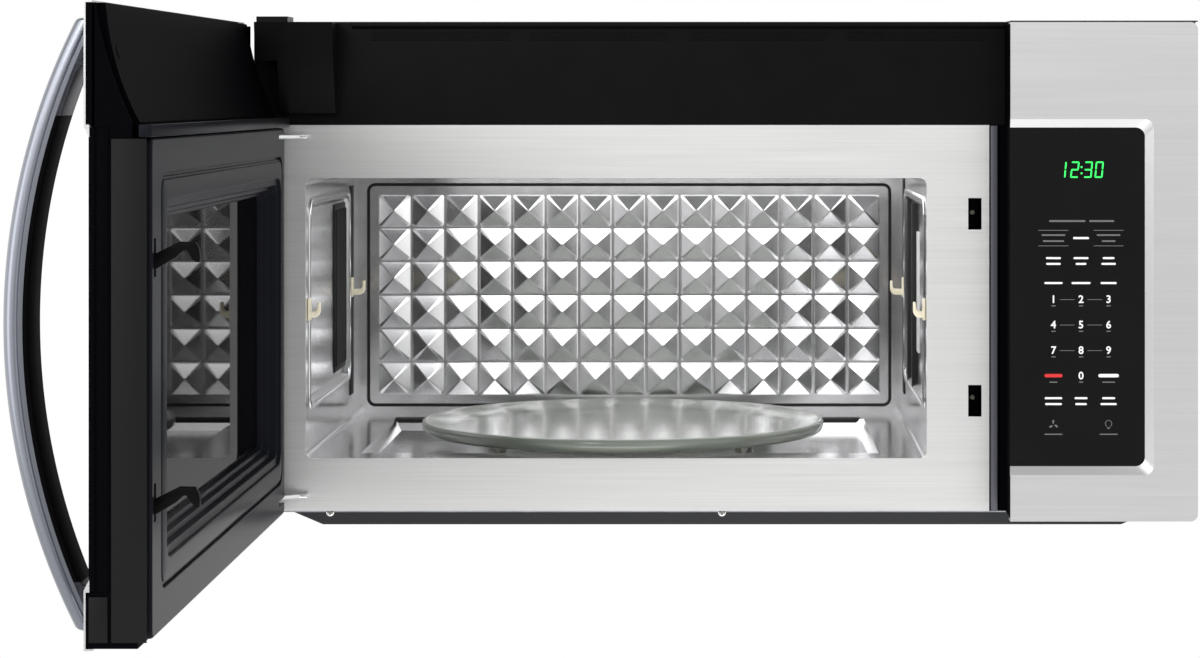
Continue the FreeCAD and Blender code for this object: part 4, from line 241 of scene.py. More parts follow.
class Look(Enum):
    """The finishes of this oven, by what carries them."""

    # Powder coat on sheet steel: an even satin skin with fine orange peel.
    CASE = Finish("black_powder_coated_steel", "#17171a", "#101012", (0.4, 0.5), 1.2, 0.02, 1.5, 0.35)
    PAN = Finish("blue_grey_powder_coated_steel", "#17181e", "#131419", (0.4, 0.5), 1.2, 0.02)
    # Galvanised sheet: dull grey with broad spangles.
    ZINC = Metal("galvanised_sheet_steel", "#b4b8bc", "#8f9499", (0.34, 0.52), 9.0, 0.01)
    # Brushed ferritic stainless: lines along the width that stretch highlights upwards. The lines are drawn
    # coarser than the real 0.3 mm, so that they still show from across a kitchen.
    FRONT = BrushedMetal("brushed_stainless_front", "#d3d3d3", "#c5c5c6", (0.42, 0.5), (150.0, 1.3, 1.3), 0.003)
    PLATE = BrushedMetal("brushed_stainless_plate", "#f4f4f3", "#e4e4e3", (0.36, 0.44), (150.0, 1.3, 1.3), 0.003,
                         stretch=0.4)
    # Bright rolled stainless: nearly a mirror, with a faint waviness from pressing.
    CAVITY = Metal("bright_rolled_stainless", "#d6d6d7", "#cbcbcc", (0.15, 0.2), 90.0, 0.03)
    PRESSED = Metal("bright_pressed_stainless", "#e0e0e1", "#d6d6d7", (0.2, 0.27), 14.0, 0.02, round_mm=0.7)
    # Satin anodised aluminium: fine lines along the bow. The inner sides at the feet take a darker copy, painted shade
    # for the dark that they show.
    HANDLE = BrushedMetal("satin_anodised_aluminium", "#979aa2", "#6e7179", (0.28, 0.34), (400.0, 1.4, 400.0), 0.002,
                          stretch=0.3)
    HANDLE_FOOT = BrushedMetal("dark_anodised_aluminium", "#4b4c52", "#303136", (0.34, 0.42), (2.2, 2.2, 120.0),
                               0.002, stretch=0.3)
    # Float glass with a black ceramic back: deep gloss with the faintest smears.
    BLACK_GLASS = Finish("black_enamelled_glass", "#191919", "#141414", (0.04, 0.09), 60.0, 0.004, 1.52)
    # Dark tinted glass before the screen: reads as a black mirror.
    WINDOW = Finish("dark_window_glass", "#0b0b0c", "#060607", (0.01, 0.03), 80.0, 0.002, 1.52, 0.01)
    # Thick glass: its top takes a pale grey, partly diffuse tone, painted reflection of the lit cavity that clear glass
    # would mirror; it is deeper and greener where it is looked into edge on.
    TRAY = ClearGlass("clear_tempered_glass", "#c6c9c4", "#bec1bc", (0.14, 0.18), 40.0, 0.02, 1.52, clear=0.68)
    TRAY_RIM = ClearGlass("tempered_glass_edge", "#8f958c", "#82887f", (0.12, 0.18), 40.0, 0.02, 1.52, clear=0.25)
    LENS = ClearGlass("frosted_lens_glass", "#f4f2ec", "#e8e6de", (0.3, 0.4), 2.0, 0.05)
    # Moulded ABS with a spark-eroded texture; the door's end face takes a smoother copy whose lighter tone is painted
    # light, against the shade of its gaps.
    ABS = Finish("textured_black_abs", "#07070a", "#050507", (0.52, 0.62), 0.9, 0.02, 1.53, 0.005, round_mm=0.5)
    ABS_END = Finish("satin_black_abs", "#131314", "#101011", (0.5, 0.6), 0.9, 0.02, 1.53, 0.1, round_mm=0.3)
    ABS_SMOOTH = Finish("smooth_black_abs", "#0b0b0c", "#070708", (0.34, 0.4), 30.0, 0.02, 1.53, 0.08, round_mm=0.5)
    # Liner of the grip: soft and very dark.
    LINER = Finish("black_soft_touch_liner", "#060607", "#030304", (0.5, 0.6), 0.9, 0.01, 1.5, 0.02)
    # Acetal: black and slick.
    LATCH = Finish("black_acetal", "#09090a", "#060607", (0.45, 0.52), 2.0, 0.01, 1.48, 0.06)
    FILTER_CORE = Metal("layered_aluminium_net", "#7d7f82", "#4c4e51", (0.4, 0.6), 1.6, 0.2)
    # Smooth moulded cover: black in the hand, grey where it mirrors the steel at a low angle.
    CHOKE = Finish("smooth_black_polypropylene", "#191a1f", "#17181c", (0.3, 0.31), 60.0, 0.0, 1.5, 0.02)
    # Painted return of the control housing.
    STRIP = Finish("grey_painted_steel", "#4c4d55", "#44454c", (0.4, 0.5), 2.0, 0.01)
    # Silicone: soft black with almost no gloss.
    SILICONE = Finish("black_silicone", "#101011", "#0a0a0b", (0.6, 0.72), 0.8, 0.02, 1.43)
    # Mica: pale flakes pressed flat. Ceramic and resin: warm, even and a little waxy.
    MICA = Finish("pressed_muscovite_mica", "#d4d5d3", "#bfc0be", (0.3, 0.42), 6.0, 0.02, 1.58)
    IVORY = Finish("ivory_ceramic", "#f2ead2", "#e2d8bc", (0.3, 0.4), 2.0, 0.02, 1.6, round_mm=0.3)
    RESIN = Finish("off_white_resin", "#d8d5cc", "#c8c5bb", (0.4, 0.5), 2.0, 0.02, 1.55, round_mm=0.3)
    BOARD = Finish("green_solder_mask", "#1f6b3c", "#14502c", (0.3, 0.5), 3.0, 0.03)
    DISPLAY = Finish("display_glass", "#0c120e", "#080c0a", (0.05, 0.1), 20.0, 0.01, 1.52)
    # Plated steel: bright, with tiny scuffs.
    SCREW = Metal("nickel_plated_steel", "#e6e6e4", "#c9c9c7", (0.14, 0.3), 0.7, 0.01)
    HINGE = Metal("bright_zinc_plated_steel", "#e0e1e2", "#c2c4c6", (0.18, 0.32), 3.0, 0.01, round_mm=0.3)
    # Stacked laminations under varnish: brown, lined and a little glossy.
    IRON = Finish("varnished_laminations", "#6d5a4b", "#3f352d", (0.35, 0.55), (60.0, 0.5, 60.0), 0.1, coat=0.2)
    # Bare aluminium: drawn smooth, or slit and pulled into a net that glitters.
    ALUMINIUM = Metal("drawn_aluminium", "#cfd0d2", "#b2b4b7", (0.25, 0.4), 4.0, 0.01)
    MESH = Metal("expanded_aluminium_mesh", "#d2d3d5", "#a9abae", (0.3, 0.45), 1.5, 0.03)
    # Moulded fan wheels: plain satin black. Heater: scaled by heat to a dull brown.
    FAN = Finish("black_fan_polymer", "#232324", "#181819", (0.4, 0.5), 1.0, 0.02)
    HEATER = Metal("oxidised_heater_sheath", "#6a605a", "#453d38", (0.45, 0.6), 2.0, 0.03)
    # Screen print: flat ink, a hair proud of the glass.
    INK_WHITE = Finish("white_screen_ink", "#f4f4f4", "#e4e4e4", (0.5, 0.6), 0.6, 0.005)
    INK_GREY = Finish("grey_screen_ink", "#6c6c6c", "#5c5c5c", (0.5, 0.6), 0.6, 0.005)
    INK_RED = Finish("red_screen_ink", "#e02428", "#c81c20", (0.5, 0.6), 0.6, 0.005)
    DIGITS = Lit("green_display_segments", "#2ee65a", "#28d850", (0.4, 0.5), 1.0, 0.02, power=1.1)
    # Matt white paper, lit a little so that it fades into the surround.
    PAPER = Lit("studio_paper", "#ffffff", "#f8f8f8", (0.8, 0.9), 200.0, 0.02, power=0.3)

    @property
    def material(self) -> bpy.types.Material:
        """The Blender material of this finish."""
        return self.value.material()


NODE_LOOKS: dict[Look, str] = {
    Look.CASE: "outer_wrap",
    Look.PAN: "bottom_pan",
    Look.ZINC: "rear_plate base_plate turntable_motor blower_scrolls exhaust_collar damper_flap"
               " convection_housing waveguide door_screen",
    Look.FRONT: "control_fascia door_skin",
    Look.PLATE: "cavity_front_plate",
    Look.CAVITY: "cavity_shell",
    Look.PRESSED: "cavity_back_panel",
    Look.HANDLE: "door_handle",
    Look.BLACK_GLASS: "control_glass door_glass_outer",
    Look.WINDOW: "door_glass_inner",
    Look.TRAY: "glass_tray",
    Look.LENS: "cooktop_lamps cavity_lamp",
    Look.ABS: "control_housing latch_bracket door_frame door_latch cord_gland",
    Look.ABS_SMOOTH: "vent_recess_panel hinge_cover_box interlock_switches",
    Look.CHOKE: "choke_cover",
    Look.SILICONE: "back_panel_gasket side_wall_grille",
    Look.MICA: "waveguide_cover",
    Look.IVORY: "rack_clips switch_plunger_upper switch_plunger_lower",
    Look.RESIN: "turntable_coupler roller_ring roller_1 roller_2 roller_3",
    Look.BOARD: "control_board",
    Look.DISPLAY: "touch_membrane clock_display",
    Look.SCREW: "case_screws handle_screws",
    Look.HINGE: "hinge_brackets",
    Look.IRON: "hv_transformer",
    Look.ALUMINIUM: "blower_motor convection_fan convection_motor magnetron hv_capacitor",
    Look.MESH: "grease_filters",
    Look.FAN: "blower_wheels cooling_fan_housing cooling_fan_wheel",
    Look.HEATER: "convection_heater",
}


@dataclass
class Shape:
    """Points and faces of one mesh, gathered piece by piece."""

    points: list[Vector] = field(default_factory=list)
    faces: list[tuple[int, ...]] = field(default_factory=list)
    marks: list[int] = field(default_factory=list)

    def loft(self, loops: Sequence[Sequence[Vector]], capped: bool = True, ring: bool = False, mark: int = 0,
             whole: bool = True) -> None:
        """Joins rows of equally many points.

        Args:
            loops: The rows in order.
            capped: Whether both ends are closed.
            ring: Whether the last row joins the first.
            mark: Material index of the faces.
            whole: Whether each row is a closed loop.
        """
        start, count, rows = len(self.points), len(loops[0]), len(loops)
        for loop in loops:
            self.points.extend(loop)
        for r in range(rows if ring else rows - 1):
            a, b = start + r * count, start + ((r + 1) % rows) * count
            for k in range(count if whole else count - 1):
                n = (k + 1) % count
                self.faces.append((a + k, a + n, b + n, b + k))
        if capped and not ring:
            self.faces.append(tuple(start + k for k in reversed(range(count))))
            self.faces.append(tuple(start + (rows - 1) * count + k for k in range(count)))
        self.marks += [mark] * (len(self.faces) - len(self.marks))

    def prism(self, outline: Sequence[Pair], depths: Pair, place: Place, mark: int = 0) -> None:
        """Raises an upright outline between two depths.

        Args:
            outline: X and height of its corners, in millimetres.
            depths: Its front and back.
            place: Turns X, depth and height into a point.
            mark: Material index of the faces.
        """
        self.loft([[place(x, depth, z) for x, z in outline] for depth in depths], mark=mark)

    def block(self, low: Point, high: Point, place: Place, mark: int = 0) -> None:
        """Adds a box.

        Args:
            low: Its lowest X, depth and height, in millimetres.
            high: Its highest X, depth and height.
            place: Turns X, depth and height into a point.
            mark: Material index of the faces.
        """
        (x0, y0, z0), (x1, y1, z1) = low, high
        self.prism([(x0, z0), (x1, z0), (x1, z1), (x0, z1)], (y0, y1), place, mark)

    def mesh(self, name: str, sharp: float = 38.0) -> bpy.types.Mesh:
        """Makes the mesh, with its faces outwards.

        Args:
            name: The mesh's name.
            sharp: Degrees past which an edge stays crisp.

        Returns:
            The mesh.
        """
        made = bpy.data.meshes.new(name)
        made.from_pydata(self.points, [], self.faces)
        made.polygons.foreach_set("material_index", self.marks)
        work = bmesh.new()
        work.from_mesh(made)
        bmesh.ops.remove_doubles(work, verts=work.verts, dist=1e-7)
        bmesh.ops.recalc_face_normals(work, faces=work.faces)
        work.to_mesh(made)
        work.free()
        return shaded(made, sharp)


def shaded(mesh: bpy.types.Mesh, sharp: float) -> bpy.types.Mesh:
    """Shades a mesh smoothly, but for the edges past so many degrees, and gives it back."""
    mesh.shade_smooth()
    mesh.set_sharp_from_angle(angle=math.radians(sharp))
    return mesh


def joined(name: str, meshes: Iterable[bpy.types.Mesh]) -> bpy.types.Mesh:
    """Joins meshes in place to one of the given name."""
    work = bmesh.new()
    for mesh in meshes:
        work.from_mesh(mesh)
    made = bpy.data.meshes.new(name)
    work.to_mesh(made)
    work.free()
    return made


def circle(radius: float, count: int) -> list[Pair]:
    """Gives the points of a circle about the middle."""
    turns = [2.0 * math.pi * k / count for k in range(count)]
    return [(radius * math.cos(t), radius * math.sin(t)) for t in turns]


def rounded(width: float, height: float, radius: float, steps: int = 5) -> list[Pair]:
    """Gives a rounded rectangle about the middle.

    Args:
        width: Its width.
        height: Its height.
        radius: Its corner radius.
        steps: Edges in each corner.

    Returns:
        Its points, anticlockwise.
    """
    points = []
    for k, (sx, sy) in enumerate(((1, 1), (-1, 1), (-1, -1), (1, -1))):
        for i in range(steps + 1):
            turn = math.pi / 2.0 * (k + i / steps)
            points.append((sx * (width / 2.0 - radius) + radius * math.cos(turn),
                           sy * (height / 2.0 - radius) + radius * math.sin(turn)))
    return points


def worked(base: bpy.types.Mesh, kind: str, inputs: dict[str, Any] | None = None, **settings: Any) -> bpy.types.Mesh:
    """Runs one modifier on a mesh and keeps only its result.

    Args:
        base: The mesh.
        kind: Blender's type of the modifier.
        inputs: A node tree's inputs, by name.
        **settings: Attributes of the modifier.

    Returns:
        The result as a plain mesh.
    """
    holder = placed(base.name, base)
    modifier = holder.modifiers.new("step", kind)
    for key, value in settings.items():
        setattr(modifier, key, value)
    for item in modifier.node_group.interface.items_tree if inputs else ():
        if item.name in inputs:
            modifier[item.identifier] = inputs[item.name]
    made = bpy.data.meshes.new_from_object(holder.evaluated_get(bpy.context.evaluated_depsgraph_get()))
    made.name = base.name
    bpy.data.objects.remove(holder)
    return made


def eased(mesh: bpy.types.Mesh, radius: float) -> bpy.types.Mesh:
    """Rounds the sharp edges of a mesh by a radius in millimetres."""
    return shaded(worked(mesh, "BEVEL", width=radius * MM, segments=2, limit_method="ANGLE",
                         angle_limit=math.radians(30.0), harden_normals=False), 48.0)


def cut_out(mesh: bpy.types.Mesh, cutters: Shape) -> bpy.types.Mesh:
    """Cuts closed shapes out of a mesh and gives what is left."""
    tool = placed("cutters", cutters.mesh("cutters"))
    made = worked(mesh, "BOOLEAN", operation="DIFFERENCE", solver="EXACT", object=tool)
    bpy.data.objects.remove(tool)
    return made


Wires = Callable[[bpy.types.NodeTree, Any], dict[str, Any]]


def repeat_tree(name: str, inputs: dict[str, str], wires: Wires) -> bpy.types.NodeTree:
    """Builds a Geometry Nodes tree that sets a unit on each of many points.

    Args:
        name: The tree's name; a tree that is there already is given again.
        inputs: Socket type by the name of each input; the finish is added to them.
        wires: Adds the nodes before the repeat, and says what the repeat is fed with.

    Returns:
        The tree.
    """
    if name in bpy.data.node_groups:
        return bpy.data.node_groups[name]
    tree = bpy.data.node_groups.new(name, "GeometryNodeTree")
    for label, kind in {**inputs, "Finish": "Material"}.items():
        tree.interface.new_socket(label, in_out="INPUT", socket_type="NodeSocket" + kind)
    tree.interface.new_socket("Made", in_out="OUTPUT", socket_type="NodeSocketGeometry")
    given = add_node(tree, "NodeGroupInput").outputs
    spread = add_node(tree, "GeometryNodeInstanceOnPoints", wires(tree, given))
    real = add_node(tree, "GeometryNodeRealizeInstances", {"Geometry": spread.outputs[0]})
    made = add_node(tree, "GeometryNodeSetMaterial", {"Geometry": real.outputs[0], "Material": given["Finish"]})
    add_node(tree, "NodeGroupOutput", {"Made": made.outputs[0]})
    return tree


def unit_wires(tree: bpy.types.NodeTree, given: Any) -> dict[str, Any]:
    """Feeds the repeat with an object's mesh, turned, on the given points."""
    unit = add_node(tree, "GeometryNodeObjectInfo", {"Object": given["Unit"]})
    return {"Points": given["Points"], "Instance": unit.outputs["Geometry"], "Rotation": given["Turn"]}


def bar_wires(tree: bpy.types.NodeTree, given: Any) -> dict[str, Any]:
    """Feeds the repeat with a bar on points in a row."""
    row = add_node(tree, "GeometryNodeMeshLine", {
        "Start Location": given["Start"], "Offset": given["Step"], "Count": given["Count"]})
    bar = add_node(tree, "GeometryNodeMeshCube", {"Size": given["Bar"]})
    return {"Points": row.outputs[0], "Instance": bar.outputs["Mesh"]}


def spread_units(unit: bpy.types.Mesh, points: Sequence[Vector], look: Look, turn: Point = (0.0, 0.0, 0.0)
                 ) -> bpy.types.Mesh:
    """Sets one unit on each point.

    Args:
        unit: The unit's mesh.
        points: The points.
        look: The finish.
        turn: The turn of each unit, in radians.

    Returns:
        All the units as one mesh.
    """
    seats = bpy.data.meshes.new(unit.name)
    seats.from_pydata(list(points), [], [])
    tree = repeat_tree("unit_on_points", {"Points": "Geometry", "Unit": "Object", "Turn": "Vector"}, unit_wires)
    holder = placed("unit", unit)
    made = worked(seats, "NODES", {"Unit": holder, "Turn": turn, "Finish": look.material}, node_group=tree)
    bpy.data.objects.remove(holder)
    return made


def row_of_bars(name: str, start: Vector, step: Point, count: int, bar: Point, look: Look) -> bpy.types.Mesh:
    """Lays equal bars side by side.

    Args:
        name: The mesh's name.
        start: Middle of the first bar.
        step: Millimetres from bar to bar along X, Y and Z.
        count: How many bars there are.
        bar: Their size in millimetres.
        look: The finish.

    Returns:
        The bars as one mesh.
    """
    inputs = {"Start": "Vector", "Step": "Vector", "Count": "Int", "Bar": "Vector"}
    return worked(bpy.data.meshes.new(name), "NODES", {
        "Start": start, "Step": [s * MM for s in step], "Count": count, "Bar": [b * MM for b in bar],
        "Finish": look.material}, node_group=repeat_tree("bars_in_a_row", inputs, bar_wires))


def finished(name: str, mesh: bpy.types.Mesh, body: str, looks: Sequence[Look],
             replaced: Sequence[str] = ()) -> None:
    """Hands a finished mesh over as a piece of the oven.

    Args:
        name: The piece's name.
        mesh: Its mesh, in place.
        body: The body that carries it.
        looks: Its finishes, in the order of its material indices.
        replaced: The CAD nodes that it stands for.
    """
    piece = placed(name, mesh)
    indices = [0] * len(mesh.polygons)
    mesh.polygons.foreach_get("material_index", indices)
    mesh.materials.clear()
    for look in looks:
        mesh.materials.append(look.material)
    mesh.polygons.foreach_set("material_index", indices)
    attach(piece, body)
    if replaced:
        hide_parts(*replaced)
    LOG.info("%s rides on %s with %d faces", name, body, len(mesh.polygons))


# ---- the control end ----
# Ink, then the name, finish and slot of the piece that it prints.
INKS: dict[str, tuple[str, Look, str]] = {
    "white": ("keypad_white_print", Look.INK_WHITE, "black_glass"),
    "grey": ("keypad_grey_print", Look.INK_GREY, "black_glass"),
    "red": ("keypad_red_print", Look.INK_RED, "black_glass"),
    "green": ("clock_digits", Look.DIGITS, "display_dark"),
}
# Bars where the real keypad has words: ink, height on the glass, thickness, then column and width of each bar.
WORDS: tuple[tuple[str, float, float, tuple[Pair, ...]], ...] = (
    ("grey", 248.0, 1.5, ((-0.5, 29.0), (0.75, 20.0))),
    ("grey", 240.6, 0.5, ((-1, 24.0), (1, 24.0))),
    ("grey", 236.8, 1.3, ((-1, 19.0), (1, 19.0))),
    ("grey", 232.0, 1.3, ((-1, 17.0), (1, 11.0))),
    ("grey", 228.2, 0.5, ((-1, 24.0), (1, 24.0))),
    ("white", 234.4, 1.7, ((0, 12.8),)),
    ("white", 218.4, 1.6, ((-1, 12.0), (0, 12.0), (1, 9.4))),
    ("white", 213.8, 1.6, ((-1, 11.6), (0, 8.6), (1, 11.6))),
    ("white", 198.5, 1.6, ((-1, 14.6), (0, 15.2), (1, 12.8))),
    ("red", 124.6, 2.7, ((-1, 14.4),)),
    ("white", 124.6, 2.7, ((1, 16.4),)),
    ("grey", 119.4, 0.9, ((-1, 6.4), (1, 10.4))),
    ("white", 106.6, 1.6, ((-1, 14.0), (0, 10.4), (1, 10.4))),
    ("white", 101.9, 1.6, ((-1, 13.4), (0, 9.2), (1, 13.0))),
    ("grey", 77.8, 0.9, ((-1, 14.4), (1, 14.4))),
)


@dataclass
class Keypad:
    """Screen print and clock on the control glass.

    Attributes:
        mid: X of the middle column of keys, in millimetres.
        pitch: Distance between columns.
        glass: Depth of the glass's face.
        ink: Thickness of the ink, drawn heavier than real so that it stays off the glass.
        digit: Height of the digits.
        rows: Heights of the three rows of digits.
        zero: Height of the last digit.
        icon: Height of the fan and of the lamp.
        clock: Lower left corner of the time.
        size: Width and height of a digit of the time.
        stroke: Width of its segments.
        prints: What is printed in each ink.
    """

    mid: float = 286.6
    pitch: float = 22.0
    glass: float = 3.5
    ink: float = 0.1
    digit: float = 6.0
    rows: tuple[float, ...] = (185.3, 165.0, 144.6)
    zero: float = 124.3
    icon: float = 85.4
    clock: Pair = (269.2, 282.5)
    size: Pair = (6.4, 13.0)
    stroke: float = 1.15
    prints: dict[str, Shape] = field(default_factory=lambda: {ink: Shape() for ink in INKS})

    def stamp(self, ink: str, outline: Sequence[Pair], x: float, z: float) -> None:
        """Prints an outline.

        Args:
            ink: The ink.
            outline: Its points, from its middle.
            x: Its middle.
            z: Its middle height.
        """
        self.prints[ink].prism([(x + a, z + b) for a, b in outline], (self.glass - self.ink, self.glass), build)

    def bar(self, ink: str, x: float, z: float, width: float, height: float) -> None:
        """Prints one bar with round ends, by its middle and its size."""
        self.stamp(ink, rounded(width, height, height * 0.45, 2), x, z)

    def words(self) -> None:
        """Puts plain bars where the real keypad has its words, and under and between its digits."""
        for ink, z, height, bars in WORDS:
            for column, width in bars:
                self.bar(ink, self.mid + column * self.pitch, z, width, height)
        for z in self.rows:
            for column in (-1, 0, 1):
                self.bar("grey", self.mid + column * self.pitch, z - 5.0, 3.6, 0.8)
            for column in (-0.5, 0.5):
                self.bar("grey", self.mid + column * self.pitch, z, 12.0, 0.45)
        self.bar("grey", self.mid, 119.4, 3.6, 0.8)

    def icons(self) -> None:
        """Prints the fan and the lamp."""
        blade = [(0.5, 0.0), (1.7, 1.05), (3.4, 0.85), (3.9, -0.1), (3.2, -0.75), (1.6, -0.3)]
        for turn in (math.radians(a) for a in (90.0, 210.0, 330.0)):
            turned = [(r * math.cos(turn) - s * math.sin(turn), r * math.sin(turn) + s * math.cos(turn))
                      for r, s in blade]
            self.stamp("grey", turned, self.mid - self.pitch, self.icon)
        x = self.mid + self.pitch
        angles = [math.radians(-55.0 + 290.0 * k / 20) for k in range(21)]
        bulb = [(r * math.cos(a), r * math.sin(a)) for r, way in ((2.8, 1), (2.3, -1)) for a in angles[::way]]
        self.stamp("grey", bulb, x, self.icon + 0.9)
        for low, wide in ((-2.1, 2.9), (-3.1, 2.3)):
            self.bar("grey", x, self.icon + low, wide, 0.5)

    def segments(self, lit: str, x: float, z: float) -> None:
        """Adds one digit of the time.

        Args:
            lit: The lit segments, by their usual letters.
            x: The digit's left edge.
            z: Its lower edge.
        """
        (w, h), t, gap, lean = self.size, self.stroke, 0.22, 0.09
        upright = {"f": (0.0, h / 2), "b": (w - t, h / 2), "e": (0.0, 0.0), "c": (w - t, 0.0)}
        level = {"a": h - t, "g": (h - t) / 2, "d": 0.0}
        for letter in lit:
            left, low = upright.get(letter, (0.0, level.get(letter, 0.0)))
            long = h / 2 if letter in upright else w
            # A segment along its own length: pointed at both ends.
            along = [(gap + t / 2, 0.0), (long - gap - t / 2, 0.0), (long - gap, t / 2), (long - gap - t / 2, t),
                     (gap + t / 2, t), (gap, t / 2)]
            corners = [(left + b, low + a) if letter in upright else (a, low + b) for a, b in along]
            self.stamp("green", [(a + lean * b, b) for a, b in corners], x, z)

    def time(self) -> None:
        """Lights the time, which is plain numbers."""
        left, low = self.clock
        for shift, lit in ((-1.5, "bc"), (8.7, "abged"), (19.4, "abgcd"), (28.1, "abcdef")):
            self.segments(lit, left + shift, low)
        for z in (3.6, 8.6):
            self.stamp("green", rounded(1.4, 1.4, 0.3, 2), left + 17.8, low + z)

    def number(self, value: int, x: float, z: float) -> bpy.types.Mesh:
        """Cuts one printed digit.

        Args:
            value: The digit.
            x: Its middle.
            z: Its middle height.

        Returns:
            Its mesh, in place.
        """
        text = bpy.data.curves.new("digit_%d" % value, "FONT")
        text.body = str(value)
        text.size = self.digit * MM * 1.42
        text.align_x, text.align_y = "CENTER", "CENTER"
        text.offset = 0.16 * MM
        text.extrude = self.ink * 0.5 * MM
        text.resolution_u = 3
        holder = placed(text.name, text)
        made = bpy.data.meshes.new_from_object(holder.evaluated_get(bpy.context.evaluated_depsgraph_get()))
        bpy.data.objects.remove(holder)
        turn = Matrix.Rotation(math.pi / 2.0, 4, "X")
        turn.translation = build(x, self.glass - self.ink * 0.5, z)
        made.transform(turn)
        return made

    def make(self) -> None:
        """Prints the whole keypad."""
        places = [(self.mid + (k % 3 - 1) * self.pitch, self.rows[k // 3]) for k in range(9)]
        digits = [self.number(k + 1, x, z) for k, (x, z) in enumerate(places)] + [self.number(0, self.mid, self.zero)]
        finished("keypad_digits", joined("keypad_digits", digits), "case", [Look.INK_WHITE])
        self.words()
        self.icons()
        self.time()
        for ink, (name, look, slot) in INKS.items():
            finished(name, self.prints[ink].mesh(name), "case", [look])


# ---- the door and the tray ----
@dataclass
class Handle:
    """Bowed grip of the door.

    Attributes:
        x: Its middle on the closed door, in millimetres.
        z: Its middle height.
        half: Half its length.
        wide: Its width.
        rise: Door front to the top of the bow.
        radius: Radius of the bow.
        thick: Thickness of the grip.
        silver: How much of it, from the outside, is bare metal; the rest is the black liner.
        feet: Length of the upper and the lower foot.
        bare: How far from each end the inner side is metal too, in the darker copy that paints its shade.
        crown: Height of its rounded top.
        hollow: Length of the soft corner at each foot.
    """

    x: float = 202.0
    z: float = 207.7
    half: float = 188.5
    wide: float = 36.0
    rise: float = 53.9
    radius: float = 415.0
    thick: float = 18.0
    silver: float = 14.6
    feet: Pair = (27.0, 28.0)
    bare: Pair = (60.0, 31.0)
    crown: float = 9.0
    hollow: float = 7.0

    def outer(self, dz: float) -> float:
        """Height of the bow's outer side over the door, dz from its middle."""
        return self.rise - self.radius + math.sqrt(self.radius ** 2 - dz * dz)

    def inner(self, dz: float) -> float:
        """Height of the bow's inner side, which falls to the door in a soft hollow at the feet."""
        bow = self.outer(dz) - self.thick
        foot = self.feet[0] if dz > 0.0 else self.feet[1]
        past = (abs(dz) - (self.half - foot - self.hollow)) / self.hollow
        if past <= 0.0:
            return bow
        return 0.0 if past >= 1.0 else bow * math.sqrt(max(0.0, 1.0 - past * past))

    def section(self, dz: float, trim: float) -> list[Vector]:
        """Gives the level outline at one height.

        Args:
            dz: Height from the middle.
            trim: Millimetres taken off all round, for the ends.

        Returns:
            The outline's points.
        """
        high, low, half = self.outer(dz) - trim, self.inner(dz), self.wide / 2.0 - trim
        spring, border = high - self.crown, self.outer(dz) - self.silver
        ease = min(1.6, (border - low) / 2.0)
        turns = [math.pi * k / 20 for k in range(21)]
        outline = [(math.copysign(abs(math.cos(t)) ** 0.87, math.cos(t)) * half,
                    spring + max(0.0, math.sin(t)) ** 0.87 * self.crown) for t in turns]
        flute = [(0.0, -0.8), (-0.9, -1.9), (0.0, -3.0)]
        outline += [(-half - a, spring + b) for a, b in flute]
        outline += [(-half, border), (-half, low + ease), (0.3 * ease - half, low + 0.3 * ease), (ease - half, low),
                    (half - ease, low), (half - 0.3 * ease, low + 0.3 * ease), (half, low + ease), (half, border)]
        outline += [(half + a, spring + b) for a, b in reversed(flute)]
        return [on_door(self.x + across, -out, self.z + dz) for across, out in outline]

    def make(self) -> None:
        """Builds the grip, with the black liner on its inner side."""
        shape = Shape()
        ends = [(-self.half, 1.6), (-self.half + 0.5, 0.7), (-self.half + 1.6, 0.0)]
        middle = [-self.half + 1.6 + (2.0 * self.half - 3.2) * k / 300 for k in range(1, 300)]
        rows = ends + [(dz, 0.0) for dz in middle] + [(-dz, trim) for dz, trim in reversed(ends)]
        loops = [self.section(dz, trim) for dz, trim in rows]
        shape.loft(loops)
        # In each row the faces past the crown and its sides belong to the liner, or near the ends to the darker metal
        # that paints their shade.
        shape.marks = []
        for dz, _ in rows[1:]:
            bare = self.half - abs(dz) < self.bare[0 if dz > 0.0 else 1]
            shape.marks += [0] * 24 + [2 if bare else 1] * 7 + [0] * 4
        shape.marks += [0, 0]
        finished("handle_bow", shape.mesh("handle_bow", 30.0), "door", [Look.HANDLE, Look.LINER, Look.HANDLE_FOOT],
                 ["door_handle"])


@dataclass
class Turntable:
    """Clear glass tray, turned on a lathe.

    Attributes:
        middle: X and depth of its axis, in millimetres.
        bottom: Height of its underside.
        radius: Its rim's radius.
        thick: Its thickness.
        flat: Radius of its flat middle.
        rim: Height of the rim's top.
    """

    middle: Pair = (-85.85, 220.0)
    bottom: float = 56.0
    radius: float = 174.0
    thick: float = 6.0
    flat: float = 148.0
    rim: float = 12.4

    def profile(self) -> list[Pair]:
        """Gives radius and height from the middle of the underside round to the middle of the top."""
        flat, radius, thick = self.flat, self.radius, self.thick
        return [(0.0, 0.0), (flat * 0.5, 0.0), (flat - 5.0, 0.0), (flat + 6.0, 0.2), (radius - 8.0, 0.9),
                (radius - 3.4, 2.0), (radius - 1.0, 4.2), (radius, 6.8), (radius, 9.6), (radius - 0.7, 11.4),
                (radius - 2.2, self.rim), (radius - 4.0, self.rim), (radius - 6.0, 11.2), (flat + 10.0, thick + 2.6),
                (flat + 2.0, thick + 0.6), (flat - 4.0, thick + 0.05), (flat - 12.0, thick), (flat * 0.5, thick),
                (0.0, thick)]

    def make(self) -> None:
        """Turns the tray."""
        cx, cy = self.middle
        shape = Shape()
        shape.loft([[build(cx + r * c, cy + r * s, self.bottom + z) for r, z in self.profile()]
                    for c, s in circle(1.0, 128)], ring=True, whole=False)
        # The outer side of the rim shows the glass edge on.
        shape.marks = [int(4 <= k <= 9) for k in range(len(self.profile()) - 1)] * 128
        finished("turned_glass_tray", shape.mesh("turned_glass_tray", 60.0), "turntable", [Look.TRAY, Look.TRAY_RIM],
                 ["glass_tray"])


